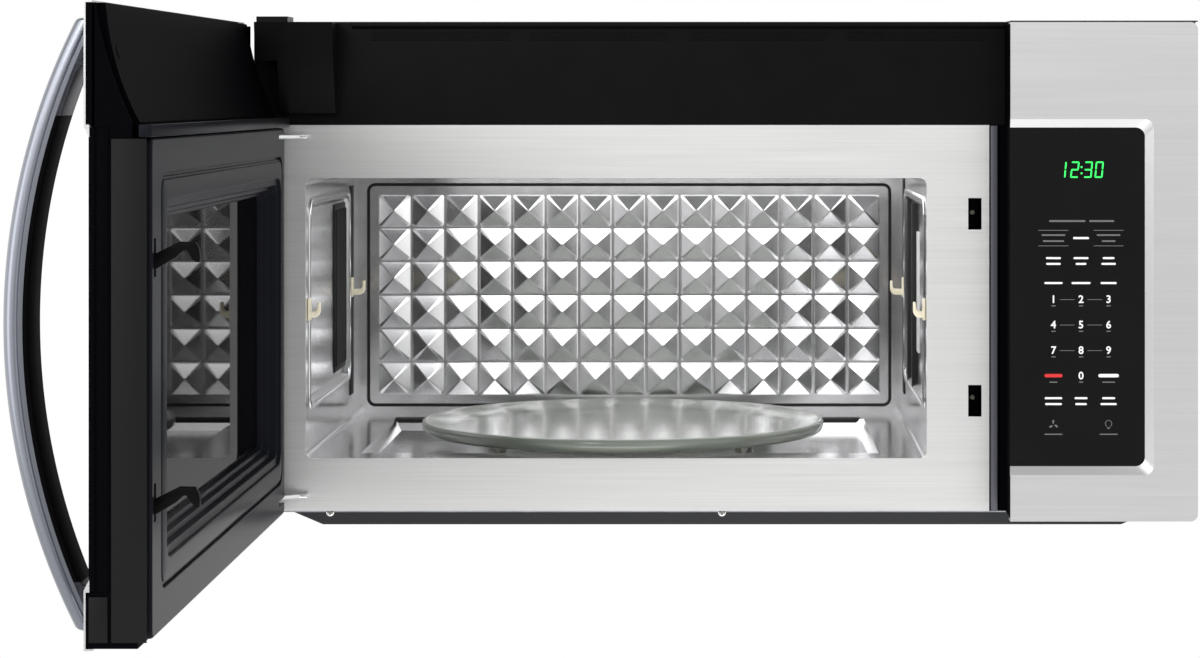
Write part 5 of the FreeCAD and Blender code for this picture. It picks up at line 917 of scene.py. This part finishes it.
@dataclass
class PressedPanel:
    """Cavity's rear panel, pressed into square pyramids with eased ridges.

    Attributes:
        middle: X and height of the field's middle, in millimetres.
        pitch: Step across and up.
        count: Columns and rows.
        rib: Flat rib between two pyramids.
        tall: Height of a pyramid.
        ridge: Width of its ridges at the foot.
        sheet: X and height of the sheet's edges.
        depth: Depth of the flat sheet.
    """

    middle: Pair = (-85.85, 163.7)
    pitch: Pair = (31.0, 31.1)
    count: tuple[int, int] = (15, 6)
    rib: float = 2.0
    tall: float = 8.0
    ridge: float = 2.2
    sheet: tuple[float, ...] = (-338.7, 167.0, 52.9, 282.2)
    depth: float = 397.0

    def unit(self) -> bpy.types.Mesh:
        """Builds one pyramid about the origin, its tip towards the door."""
        shape = Shape()
        loops = []
        # Each step's half width as a share, how much its corners are cut, and its height.
        for half, cut, rise in ((1.0, 0.55, -0.4), (1.0, 0.55, 0.0), (0.94, 1.0, 0.35), (0.06, 1.0, 7.4),
                                (0.03, 1.0, self.tall)):
            a, c = [(step - self.rib) / 2.0 * half for step in self.pitch]
            edge = min(self.ridge * (0.25 + 0.75 * half) * cut, a * 0.55)
            outline = [(a, c - edge), (a - edge, c), (edge - a, c), (-a, c - edge), (-a, edge - c), (edge - a, -c),
                       (a - edge, -c), (a, edge - c)]
            loops.append([Vector((x, -rise, z)) * MM for x, z in outline])
        shape.loft(loops)
        return shape.mesh("pyramid_unit", 12.0)

    def make(self) -> None:
        """Presses the field and joins it to the flat sheet."""
        across, up = [[mid + (k - (count - 1) / 2.0) * step for k in range(count)]
                      for mid, step, count in zip(self.middle, self.pitch, self.count)]
        x0, x1, z0, z1 = self.sheet
        flat = Shape()
        flat.block((x0, self.depth, z0), (x1, self.depth + 1.0, z1), build)
        pressed = spread_units(self.unit(), [build(x, self.depth, z) for x in across for z in up], Look.PRESSED)
        finished("pressed_back_panel", joined("pressed_back_panel", (pressed, flat.mesh("flat"))), "case",
                 [Look.PRESSED], ["cavity_back_panel"])


@dataclass
class Fasteners:
    """Pan head screws with a cross recess.

    Attributes:
        head: Radius of the head, in millimetres.
        high: Its height.
        shank: Radius of the shank.
        slot: Half the width of the recess.
        long: Half the length of the recess.
        lift: How far the pan's front screws tuck up behind the plate.
        blank: Radius of the discs in the pan's holes.
    """

    head: float = 3.6
    high: float = 2.0
    shank: float = 1.9
    slot: float = 0.55
    long: float = 2.1
    lift: float = 4.8
    blank: float = 2.6

    def cross(self, turn: float, size: float) -> float:
        """Gives the recess's radius at one angle, for a size of 1 or less."""
        c, s = max(abs(math.cos(turn)), 1e-6), max(abs(math.sin(turn)), 1e-6)
        long, half = self.long * size, self.slot
        return max(min(long / c, half / s), min(half / c, long / s))

    def unit(self) -> bpy.types.Mesh:
        """Builds one screw, seated at the origin with its head up."""
        corner = math.degrees(math.atan(self.slot / self.long))
        turns = [math.radians(90.0 * q + a) for q in range(4) for a in (0.0, corner, 30.0, 45.0, 60.0, 90.0 - corner)]
        sides = [(-0.95, self.shank), (0.0, self.shank), (0.0, self.head), (self.high * 0.55, self.head),
                 (self.high * 0.9, self.head - 0.5), (self.high, self.head - 1.1)]
        rows = [(z, [r] * len(turns)) for z, r in sides]
        rows += [(self.high - deep, [self.cross(t, size) for t in turns]) for deep, size in ((0.0, 1.0), (1.2, 0.7))]
        shape = Shape()
        shape.loft([[Vector((r * math.cos(t), r * math.sin(t), z)) * MM for t, r in zip(turns, radii)]
                    for z, radii in rows])
        return shape.mesh("screw_unit", 45.0)

    def places(self, node: str) -> dict[tuple[int, int], list[Vector]]:
        """Finds the seats of a node's screws.

        Args:
            node: The CAD node.

        Returns:
            For each axis and way of the head, the seats.
        """
        work = bmesh.new()
        work.from_mesh(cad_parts[node].data)
        bmesh.ops.remove_doubles(work, verts=work.verts, dist=1e-6)
        left = set(work.verts)
        found: dict[tuple[int, int], list[Vector]] = {}
        while left:
            island, queue = set(), [next(iter(left))]
            while queue:
                vert = queue.pop()
                if vert not in island:
                    island.add(vert)
                    queue += [e.other_vert(vert) for e in vert.link_edges]
            left -= island
            low = Vector([min(v.co[i] for v in island) for i in range(3)])
            high = Vector([max(v.co[i] for v in island) for i in range(3)])
            size, mid = high - low, (low + high) / 2.0
            axis = min(range(3), key=lambda i: abs(size[(i + 1) % 3] - size[(i + 2) % 3]))
            wide = [v.co[axis] for v in island
                    if (v.co - mid - (v.co - mid)[axis] * Vector([float(i == axis) for i in range(3)])).length
                    > (self.shank + 0.5) * MM]
            way = 1 if sum(wide) / len(wide) > mid[axis] else -1
            seat = mid.copy()
            seat[axis] = min(wide) if way > 0 else max(wide)
            found.setdefault((axis, way), []).append(seat)
        work.free()
        return found

    def make(self) -> None:
        """Sets a screw on every seat, one mesh for each body, and closes the pan's front holes."""
        quarter = math.pi / 2.0
        turns = {(0, 1): (0, quarter, 0), (0, -1): (0, -quarter, 0), (1, 1): (-quarter, 0, 0), (1, -1): (quarter, 0, 0),
                 (2, 1): (0, 0, 0), (2, -1): (math.pi, 0, 0)}
        low = BOTTOM_Z + 12.0 * MM
        blanks = Shape()
        for node, body, name in (("case_screws", "case", "case_cross_screws"),
                                 ("handle_screws", "door", "handle_cross_screws")):
            parts = []
            for way, found in self.places(node).items():
                # The hinge screws have flat heads, which the arms' class draws.
                seats = [seat for seat in found if not (seat.x < -0.3 and -0.38 < seat.y < -0.36 and seat.z > low)]
                for seat in seats:
                    if way == (1, -1) and seat.y < -0.3 and seat.z < low and body == "case":
                        blanks.loft([[seat + Vector((x, depth, z)) * MM for x, z in circle(self.blank, 24)]
                                     for depth in (0.6, -0.06)])
                        seat.z += self.lift * MM
                parts.append(spread_units(self.unit(), seats, Look.SCREW, turns[way]))
            finished(name, shaded(joined(name, parts), 45.0), body, [Look.SCREW], [node])
        finished("pan_hole_blanks", blanks.mesh("pan_hole_blanks"), "case", [Look.PAN])


@dataclass
class ChokeCover:
    """Moulded inner cover of the door: groove, raised field and stepped window.

    Attributes:
        outer: Lowest and highest X and height of the cover, in millimetres.
        groove: The same for the line round the field.
        window: The same for the window.
        back: Depth of its rear.
        face: Depth of its face, towards the cavity.
        glass: Depth of the window glass's face.
        slots: Lower and upper end of each hook's slot.
        slot_x: Left and right side of the slots.
        arms: Heights of the hinge arms.
        arm_x: Left and right end of the room for an arm.
        arm_half: Half the height of that room.
    """

    outer: tuple[float, ...] = (-362.0, 215.0, 13.0, 322.0)
    groove: tuple[float, ...] = (-350.0, 184.0, 38.0, 300.0)
    window: tuple[float, ...] = (-336.0, 158.0, 61.0, 277.0)
    back: float = 33.0
    face: float = 39.5
    glass: float = 22.0
    slots: tuple[Pair, ...] = ((236.0, 260.0), (84.4, 108.4))
    slot_x: Pair = (201.6, 208.6)
    arms: tuple[float, ...] = (315.0, 24.0)
    arm_x: Pair = (-366.0, -331.0)
    arm_half: float = 2.2

    def profile(self) -> list[tuple[Sequence[float], float, float, float]]:
        """Gives outline, inset, depth and corner radius of each step, from the rear ring round to the glass."""
        o, g, w, f = self.outer, self.groove, self.window, self.face
        return [
            (w, -2.0, self.glass + 0.3, 9.0), (w, -2.0, self.back, 9.0), (o, 0.0, self.back, 5.0),
            (o, 0.0, f - 1.8, 5.0), (o, 0.4, f - 0.7, 5.0), (o, 1.5, f, 4.5),
            (g, 0.0, f, 13.0), (g, 0.5, f - 0.5, 12.5), (g, 0.8, f - 2.4, 12.2), (g, 2.6, f - 2.4, 10.4),
            (g, 2.9, f - 1.1, 10.1), (g, 4.2, f - 1.1, 9.0), (g, 4.6, f - 0.2, 8.6), (g, 5.4, f, 8.0),
            (w, -6.5, f, 13.0), (w, -5.6, f - 0.4, 12.4), (w, -5.2, f - 2.2, 12.0), (w, -3.0, f - 2.4, 10.6),
            (w, -0.6, f - 2.6, 9.4), (w, 0.0, f - 3.2, 9.0), (w, 1.2, f - 7.6, 8.4), (w, 3.6, f - 8.0, 7.4),
            (w, 4.2, f - 8.6, 7.0), (w, 5.6, f - 12.6, 6.4), (w, 7.4, f - 13.0, 5.8), (w, 8.0, f - 13.6, 5.4),
            (w, 9.0, self.glass + 0.3, 5.0)]

    def make(self) -> None:
        """Builds the cover, with room for the hooks and the hinge arms."""
        shape = Shape()
        loops = []
        for (x0, x1, z0, z1), inset, depth, radius in self.profile():
            outline = rounded(x1 - x0 - 2 * inset, z1 - z0 - 2 * inset, radius, 6)
            loops.append([on_door((x0 + x1) / 2 + a, depth, (z0 + z1) / 2 + b) for a, b in outline])
        shape.loft(loops, capped=False, ring=True)
        cutters, past = Shape(), self.face + 1.5
        for low, high in self.slots:
            cutters.block((self.slot_x[0], self.back - 3.0, low), (self.slot_x[1], past, high), on_door)
        for z in self.arms:
            cutters.block((self.arm_x[0], 8.0, z - self.arm_half), (self.arm_x[1], past, z + self.arm_half), on_door)
        finished("moulded_choke_cover", shaded(cut_out(shape.mesh("moulded_choke_cover", 30.0), cutters), 14.0), "door",
                 [Look.CHOKE], ["choke_cover"])


@dataclass
class Latch:
    """Sliding bar of the door with its two bent hooks.

    Attributes:
        x: Its left and right side on the closed door, in millimetres.
        bar: Depths of the bar's front and back.
        low: Its lower end.
        tops: Heights of the hooks' tops.
    """

    x: Pair = (202.6, 207.6)
    bar: Pair = (16.0, 28.0)
    low: float = 89.4
    tops: Pair = (258.0, 106.4)

    def hook(self, top: float) -> list[Pair]:
        """Gives depth and height of a hook's corners."""
        return [(depth, top + rise) for depth, rise in (
            (24.0, -8.2), (38.6, -8.0), (54.9, 0.0), (65.1, -0.3), (67.0, -4.1), (67.7, -9.7), (67.3, -12.7),
            (65.1, -12.7), (62.5, -10.1), (59.4, -5.4), (57.6, -5.4), (52.7, -9.7), (40.0, -17.2), (24.0, -17.2))]

    def make(self) -> None:
        """Builds the bar and the hooks."""
        shape = Shape()
        shape.block((self.x[0], self.bar[0], self.low), (self.x[1], self.bar[1], self.tops[0]), on_door)
        for top in self.tops:
            shape.loft([[on_door(x, depth, z) for depth, z in self.hook(top)] for x in self.x])
        finished("bent_hook_latch", eased(shape.mesh("bent_hook_latch"), 0.5), "latch", [Look.LATCH],
                 ["door_latch"])


@dataclass
class GreaseFilters:
    """Lift-out aluminium filters: a rim with crossed wires under a fine net.

    Attributes:
        mids: X of the two filters, in millimetres.
        depth: Depth of their middle.
        size: Width and depth of a filter.
        rim: Width of its rim.
        base: Height of its underside.
        thick: Its thickness.
        pitch: Step of the wires, coarser than the real net so that it shows.
    """

    mids: Pair = (-190.0, 190.0)
    depth: float = 292.0
    size: Pair = (186.0, 128.0)
    rim: float = 7.0
    base: float = 1.0
    thick: float = 7.5
    pitch: float = 3.2

    def make(self) -> None:
        """Builds both filters."""
        parts = []
        w, d = self.size
        lip, top = self.base + 0.8, self.base + self.thick
        ring = ((0.0, top, 3.0), (0.0, lip, 3.0), (0.8, self.base, 3.0), (self.rim - 0.8, self.base, 2.5),
                (self.rim, lip, 2.5), (self.rim, top, 2.5))
        half = [side / 2 - self.rim + 1 for side in self.size]
        for x in self.mids:
            shape = Shape()
            shape.loft([[build(x + a, self.depth + b, z) for a, b in rounded(w - 2 * inset, d - 2 * inset, r, 3)]
                        for inset, z, r in ring], capped=False, ring=True)
            shape.block((x - half[0], self.depth - half[1], self.base + 2.6),
                        (x + half[0], self.depth + half[1], self.base + 6.0), build, 1)
            parts.append(shape.mesh("filter"))
            for axis in (0, 1):
                inner = self.size[axis] - 2 * self.rim + 1.0
                count = int(inner / self.pitch)
                start = [x, self.depth, self.base + 1.6 + 0.6 * axis]
                start[axis] -= (count - 1) / 2.0 * self.pitch
                bar = [0.9, 0.9, 0.6]
                bar[1 - axis] = self.size[1 - axis] - 2 * self.rim + 1.0
                step = [self.pitch * (axis == k) for k in range(3)]
                parts.append(row_of_bars("wires", build(*start), step, count, bar, Look.MESH))
        finished("net_grease_filters", joined("net_grease_filters", parts), "case", [Look.MESH, Look.FILTER_CORE],
                 ["grease_filters"])


@dataclass
class HingeArms:
    """Bright steel arms that carry the door's pins.

    Attributes:
        pin: X and depth of the hinge axis, in millimetres.
        heights: Heights of the two arms.
        end: X where an arm meets the front plate.
        plate: Depth of the plate's face.
        thick: Thickness of an arm.
        eye: Radius of the eye round the pin.
        spans: Lower and upper end of each pin.
        pin_r: Radius of a pin.
        rivets: X and height of the flat heads beside the arms.
        rivet_r: Radius of a flat head.
    """

    pin: Pair = (-368.2, 22.2)
    heights: Pair = (315.0, 24.0)
    end: float = -338.0
    plate: float = 43.0
    thick: float = 3.0
    eye: float = 6.0
    spans: tuple[Pair, ...] = ((304.0, 322.0), (17.0, 35.0))
    pin_r: float = 2.5
    rivets: tuple[Pair, ...] = ((-320.5, 313.2), (-320.5, 26.3))
    rivet_r: float = 4.8

    def make(self) -> None:
        """Builds both arms with their pins and flat head screws."""
        x, depth = self.pin
        shape = Shape()
        for z in self.heights:
            outline = [(x + 12.0, self.plate), (self.end + 2.0, self.plate), (self.end + 2.0, self.plate - 5.5),
                       (self.end - 4.0, self.plate - 5.5)]
            outline += [(x + self.eye * math.cos(math.radians(a)), depth + self.eye * math.sin(math.radians(a)))
                        for a in range(-80, -300, -20)]
            shape.loft([[build(a, b, h) for a, b in outline] for h in (z - self.thick / 2, z + self.thick / 2)])
        pins = Shape()
        for low, high in self.spans:
            pins.loft([[build(x + a, depth + b, h) for a, b in circle(r, 24)]
                       for r, h in ((self.pin_r - 0.5, low), (self.pin_r, low + 0.5), (self.pin_r, high - 0.5),
                                    (self.pin_r - 0.5, high))])
        for x, z in self.rivets:
            pins.loft([[build(x + a, d, z + b) for a, b in circle(self.rivet_r, 32)]
                       for d in (self.plate + 0.6, self.plate - 0.05)], mark=1)
        parts = (eased(shape.mesh("hinge_arms"), 0.4), pins.mesh("pins"))
        finished("hinge_arms", shaded(joined("hinge_arms", parts), 45.0), "case", [Look.HINGE, Look.PLATE],
                 ["hinge_brackets"])


@dataclass
class DoorTrim:
    """Moulded lines of the door's free end, and the cap at the hinge end of the hollow.

    Attributes:
        right: X of the door's free end, in millimetres.
        left: X of its hinge end.
        strips: Front and back depth of each raised strip.
        heights: Lower and upper end of the strips.
        main: The same for the strip along the inner cover.
        foot: Front, back, lower and upper end of the block at the foot.
        cap: Lower and upper end of the cap in the hollow, then its front and back.
        ledge: Front, back, lower and upper end of the ledge over the inner cover.
        plug: X and height of the plug over the handle's upper screw.
    """

    right: float = 228.0
    left: float = -379.3
    strips: tuple[Pair, ...] = ((3.0, 6.8), (8.2, 15.2), (16.8, 38.6))
    heights: Pair = (44.8, 328.6)
    main: Pair = (13.5, 322.0)
    foot: tuple[float, ...] = (3.0, 14.6, 13.5, 41.6)
    cap: tuple[float, ...] = (331.0, 404.0, 1.4, 9.6)
    ledge: tuple[float, ...] = (33.5, 41.3, 322.8, 330.6)
    plug: Pair = (202.0, 375.2)

    def make(self) -> None:
        """Builds the strips, the cap and the plug."""
        shape = Shape()
        x0, x1 = self.right - 0.7, self.right - 0.05
        # The strip along the inner cover and the foot take the lighter end finish: painted light on the flat end face.
        for k, (front, back) in enumerate(self.strips):
            low, high = self.main if k == 2 else self.heights
            shape.block((x0, front, low), (x1, back, high), on_door, int(k == 2))
        front, back, low, high = self.foot
        shape.block((x0, front, low), (x1, back, high), on_door, 1)
        low, high, front, back = self.cap
        shape.block((self.left, front, low), (self.left + 4.2, back, high), on_door)
        # The ledge between the scoop and the inner cover mirrors the plate as the cover does.
        front, back, low, high = self.ledge
        shape.block((self.left + 1.0, front, low), (self.right - 1.2, back, high), on_door, 2)
        x, z = self.plug
        shape.loft([[on_door(x + a, depth - lean * b, z + b) for a, b in circle(r, 24)]
                    for r, depth, lean in ((4.3, 9.2, 0.0), (4.6, 16.5, 0.23), (4.3, 16.54, 0.23))])
        finished("door_end_trim", eased(shape.mesh("door_end_trim"), 0.35), "door",
                 [Look.ABS, Look.ABS_END, Look.CHOKE])


@dataclass
class OutletLouvres:
    """Fine louvres that fill the outlet slots of the vent recess.

    Attributes:
        span: Left and right end, in millimetres.
        face: Depth of their middle.
        low: Height of the lowest.
        pitch: Step from louvre to louvre.
        count: How many there are.
        bar: Thickness and height of one.
    """

    span: Pair = (-286.0, 216.0)
    face: float = 44.35
    low: float = 394.0
    pitch: float = 1.6
    count: int = 5
    bar: Pair = (0.8, 1.35)

    def make(self) -> None:
        """Lays the louvres over one another."""
        left, right = self.span
        made = row_of_bars("outlet_louvres", build((left + right) / 2.0, self.face, self.low), (0.0, 0.0, self.pitch),
                           self.count, (right - left, *self.bar), Look.ABS_SMOOTH)
        finished("outlet_louvres", made, "case", [Look.ABS_SMOOTH])


@dataclass
class EdgeStrips:
    """Dark strip between the front plate and the control housing.

    Attributes:
        strip: Left and right side of the strip, in millimetres.
        heights: Its lower and upper end.
    """

    strip: Pair = (217.9, 223.4)
    heights: Pair = (11.6, 323.8)

    def make(self) -> None:
        """Builds the strip."""
        shape = Shape()
        shape.block((self.strip[0], 41.6, self.heights[0]), (self.strip[1], 46.0, self.heights[1]), build)
        finished("housing_side_strip", eased(shape.mesh("housing_side_strip"), 0.5), "case", [Look.STRIP])


@dataclass
class CavityFittings:
    """Ivory rack clips, and painted shadow along the pressed lines of the cavity's walls.

    Attributes:
        walls: X of the left and right wall, in millimetres.
        low: Height of a clip's foot.
        wide: Width of a clip.
        rows: Depth and reach of the front and rear clips.
        lines: Left and right X, front and back depth, lower and upper end of each dark wall line, painted shadow in a
            pressed seam.
        field: Front and back depth, lower and upper end of the pressed wall fields.
        grille: The same for the grille in the left wall.
        pitch: Step between the grille's louvres.
        slot: Left and right X and depths of the dark slot behind the sunken floor, painted shadow of its rear step.
    """

    walls: Pair = (-337.7, 166.0)
    low: float = 165.0
    wide: float = 9.0
    rows: tuple[Pair, ...] = ((58.0, 10.0), (348.0, 13.0))
    lines: tuple[tuple[float, ...], ...] = (
        (-337.9, -336.9, 340.0, 364.0, 76.0, 266.0), (165.2, 166.2, 342.0, 366.0, 77.0, 273.0),
        (165.4, 170.2, 292.0, 300.0, 93.7, 258.0), (165.4, 170.2, 226.0, 234.0, 93.7, 254.6),
        (165.4, 166.2, 80.0, 88.0, 92.0, 262.0))
    field: tuple[float, ...] = (66.0, 336.0, 92.0, 262.0)
    grille: tuple[float, ...] = (255.0, 331.0, 104.0, 252.0)
    pitch: float = 4.5
    slot: tuple[float, ...] = (-298.0, 126.0, 345.0, 361.0)

    def clips(self) -> None:
        """Builds the four hooked clips."""
        shape = Shape()
        for wall, way in zip(self.walls, (1.0, -1.0)):
            for depth, reach in self.rows:
                hook = [(0.2, 0.0), (2.4, 0.0), (2.4, 2.0), (reach - 4.0, 2.0), (reach - 1.4, 3.4), (reach, 6.4),
                        (reach, 14.6), (reach - 1.9, 14.6), (reach - 2.2, 9.4), (reach - 3.6, 7.4), (2.4, 7.0),
                        (2.4, 17.6), (0.2, 17.6)]
                shape.loft([[build(wall + way * x, y, self.low + z) for x, z in hook]
                            for y in (depth - self.wide / 2.0, depth + self.wide / 2.0)])
        finished("hooked_rack_clips", eased(shape.mesh("hooked_rack_clips"), 0.5), "case", [Look.IVORY],
                 ["rack_clips"])

    def wall_lines(self) -> None:
        """Builds the painted shadow: dark lines in the walls' pressed seams, and the dark slot behind the sunken floor
        where its rear step is in shade.
        """
        shape = Shape()
        for x0, x1, front, back, low, high in self.lines:
            shape.block((x0, front, low), (x1, back, high), build)
        x0, x1, front, back = self.slot
        outline = rounded(x1 - x0, back - front, 5.0)
        shape.loft([[build((x0 + x1) / 2 + a, (front + back) / 2 + b, z) for a, b in outline] for z in (50.4, 54.2)])
        # Silicone black serves here as painted shadow, not as a part of its own.
        finished("cavity_wall_lines", eased(shape.mesh("cavity_wall_lines"), 0.2), "case", [Look.SILICONE])

    def beads(self) -> None:
        """Builds the raised bead round each pressed wall field."""
        shape = Shape()
        front, back, low, high = self.field
        mid_y, mid_z = (front + back) / 2.0, (low + high) / 2.0
        for wall, way in zip(self.walls, (1.0, -1.0)):
            loops = []
            for inset, rise in ((-3.0, -0.3), (-2.2, 0.9), (-0.8, 1.5), (0.8, 1.5), (2.2, 0.9), (3.0, -0.3)):
                outline = rounded(back - front - 2 * inset, high - low - 2 * inset, 12.0 - inset)
                loops.append([build(wall + way * rise, mid_y + a, mid_z + b) for a, b in outline])
            shape.loft(loops, ring=True)
        finished("cavity_wall_beads", shape.mesh("cavity_wall_beads", 50.0), "case", [Look.CAVITY])

    def wall_grille(self) -> None:
        """Builds the dark grille of the left wall: a plate with upright louvres."""
        front, back, low, high = self.grille
        wall = self.walls[0] - 4.0
        shape = Shape()
        shape.block((wall, front, low), (wall + 1.2, back, high), build)
        count = int((back - front - 8.0) / self.pitch) + 1
        louvres = row_of_bars("louvres", build(wall + 1.8, front + 5.0, (low + high) / 2.0), (0.0, self.pitch, 0.0),
                              count, (1.4, 2.0, high - low - 10.0), Look.SILICONE)
        finished("louvred_wall_grille", joined("louvred_wall_grille", (eased(shape.mesh("plate"), 0.4), louvres)),
                 "case", [Look.SILICONE], ["side_wall_grille"])

    def make(self) -> None:
        """Builds the clips, the painted shadow lines, the beads and the grille."""
        self.clips()
        self.wall_lines()
        self.beads()
        self.wall_grille()


# ---- the studio ----
@dataclass
class Studio:
    """Pale floor, soft lights and the camera.

    Attributes:
        eye: The camera's place.
        lens_mm: Focal length on a 36 mm sensor.
        shift: The frame's shift, in frame widths.
        floor_z: Height of the floor.
    """

    eye: Point = (0.0, -2.879, 0.139)
    lens_mm: float = 92.73
    shift: Pair = (-0.10167, -0.1954)
    floor_z: float = -4.4

    def camera(self) -> None:
        """Sets the camera level, looking at the front."""
        data = bpy.data.cameras.new("camera")
        data.lens = self.lens_mm
        data.sensor_width = 36.0
        data.shift_x, data.shift_y = self.shift
        data.clip_start = 0.05
        holder = placed("camera", data)
        holder.location = self.eye
        holder.rotation_euler = (math.pi / 2.0, 0.0, 0.0)
        bpy.context.scene.camera = holder

    def floor(self) -> None:
        """Lays a plain pale floor under the object."""
        half = 15.0
        mesh = bpy.data.meshes.new("studio_floor")
        corners = [(x * half, y * half, self.floor_z) for x, y in ((-1, -1), (1, -1), (1, 1), (-1, 1))]
        mesh.from_pydata(corners, [], [(0, 1, 2, 3)])
        mesh.materials.append(Look.PAPER.material)
        placed("studio_floor", mesh)

    def softbox(self, name: str, place: Point, towards: Point, size: Pair, power: float) -> None:
        """Hangs a soft area light.

        Args:
            name: The light's name.
            place: Its middle.
            towards: The point that it faces.
            size: Its width and height.
            power: Watts.
        """
        data = bpy.data.lights.new(name, "AREA")
        data.shape = "RECTANGLE"
        data.size, data.size_y = size
        data.energy = power
        holder = placed(name, data)
        holder.location = place
        holder.visible_camera = False
        way = Vector(towards) - Vector(place)
        holder.rotation_euler = way.to_track_quat("-Z", "Y").to_euler()

    def surround(self) -> None:
        """Surrounds the object with soft light, dimmer behind the camera, so that black gloss stays black."""
        world = bpy.data.worlds.new("studio_surround")
        world.use_nodes = True
        tree = world.node_tree
        way = add_node(tree, "ShaderNodeTexCoord").outputs["Generated"]
        axes = add_node(tree, "ShaderNodeSeparateXYZ", {"Vector": way})

        def vector(operation: str, first: Any, second: Any = (0.0, 0.0, 0.0)) -> bpy.types.Node:
            """Adds a step of vector arithmetic."""
            return add_node(tree, "ShaderNodeVectorMath", {0: first, 1: second}, operation=operation)

        def sum_of(operation: str, first: Any, second: Any) -> bpy.types.NodeSocket:
            """Adds a step of arithmetic and gives its result."""
            return add_node(tree, "ShaderNodeMath", {0: first, 1: second}, operation=operation).outputs[0]

        squashed = vector("MULTIPLY", vector("ADD", way, (0.03, 0.0, 0.06)).outputs[0], (3.4, 0.0, 6.6))
        off = vector("LENGTH", squashed.outputs[0]).outputs["Value"]
        reach = sum_of("ADD", off, sum_of("GREATER_THAN", axes.outputs["Y"], 0.0))
        front = add_node(tree, "ShaderNodeMapRange", {
            "Value": reach, "From Min": 0.85, "From Max": 1.5, "To Min": 0.06, "To Max": 1.26},
            interpolation_type="SMOOTHSTEP")
        above = add_node(tree, "ShaderNodeMapRange", {
            "Value": axes.outputs["Z"], "From Min": 0.05, "From Max": 0.7, "To Min": 1.0, "To Max": 0.45})
        power = sum_of("MULTIPLY", front.outputs["Result"], above.outputs["Result"])
        white = linear("#ffffff")
        soft = add_node(tree, "ShaderNodeBackground", {"Color": white, "Strength": power})
        pale = add_node(tree, "ShaderNodeBackground", {"Color": white, "Strength": 1.0})
        seen = add_node(tree, "ShaderNodeLightPath").outputs["Is Camera Ray"]
        mix = add_node(tree, "ShaderNodeMixShader", {0: seen, 1: soft.outputs[0], 2: pale.outputs[0]})
        tree.links.new(mix.outputs[0], tree.nodes["World Output"].inputs["Surface"])
        bpy.context.scene.world = world

    def lights(self) -> None:
        """Puts the soft lights in place."""
        self.softbox("key_above", (-1.5, -3.2, 1.1), (0.0, -0.3, 0.0), (1.8, 0.9), 36.0)
        self.softbox("fill_left", (-2.6, -1.6, 0.6), (0.0, -0.3, 0.0), (1.6, 2.4), 24.0)
        self.softbox("fill_low", (0.15, -2.2, -1.5), (-0.1, 0.0, 0.0), (2.4, 0.8), 16.0)
        self.softbox("oven_light", (-0.05, -0.20, 0.066), (-0.05, -0.20, -0.14), (0.42, 0.26), 0.92)
        bpy.context.scene.view_settings.view_transform = "Standard"

    def set_up(self) -> None:
        """Builds the studio."""
        self.camera()
        self.floor()
        self.surround()
        self.lights()


def dress_nodes() -> None:
    """Gives every CAD node its finish."""
    for look, names in NODE_LOOKS.items():
        for name in names.split():
            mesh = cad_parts[name].data
            mesh.materials.clear()
            mesh.materials.append(look.material)


def main() -> None:
    """Builds the studio and the oven."""
    logging.basicConfig(level=logging.INFO, format="%(message)s")
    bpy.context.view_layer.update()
    Studio().set_up()
    dress_nodes()
    for kind in (Keypad, Handle, Turntable, PressedPanel, ChokeCover, Latch, HingeArms, DoorTrim, OutletLouvres,
                 EdgeStrips, CavityFittings, GreaseFilters, Fasteners):
        kind().make()
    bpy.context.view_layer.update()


if __name__ == "__main__":
    main()
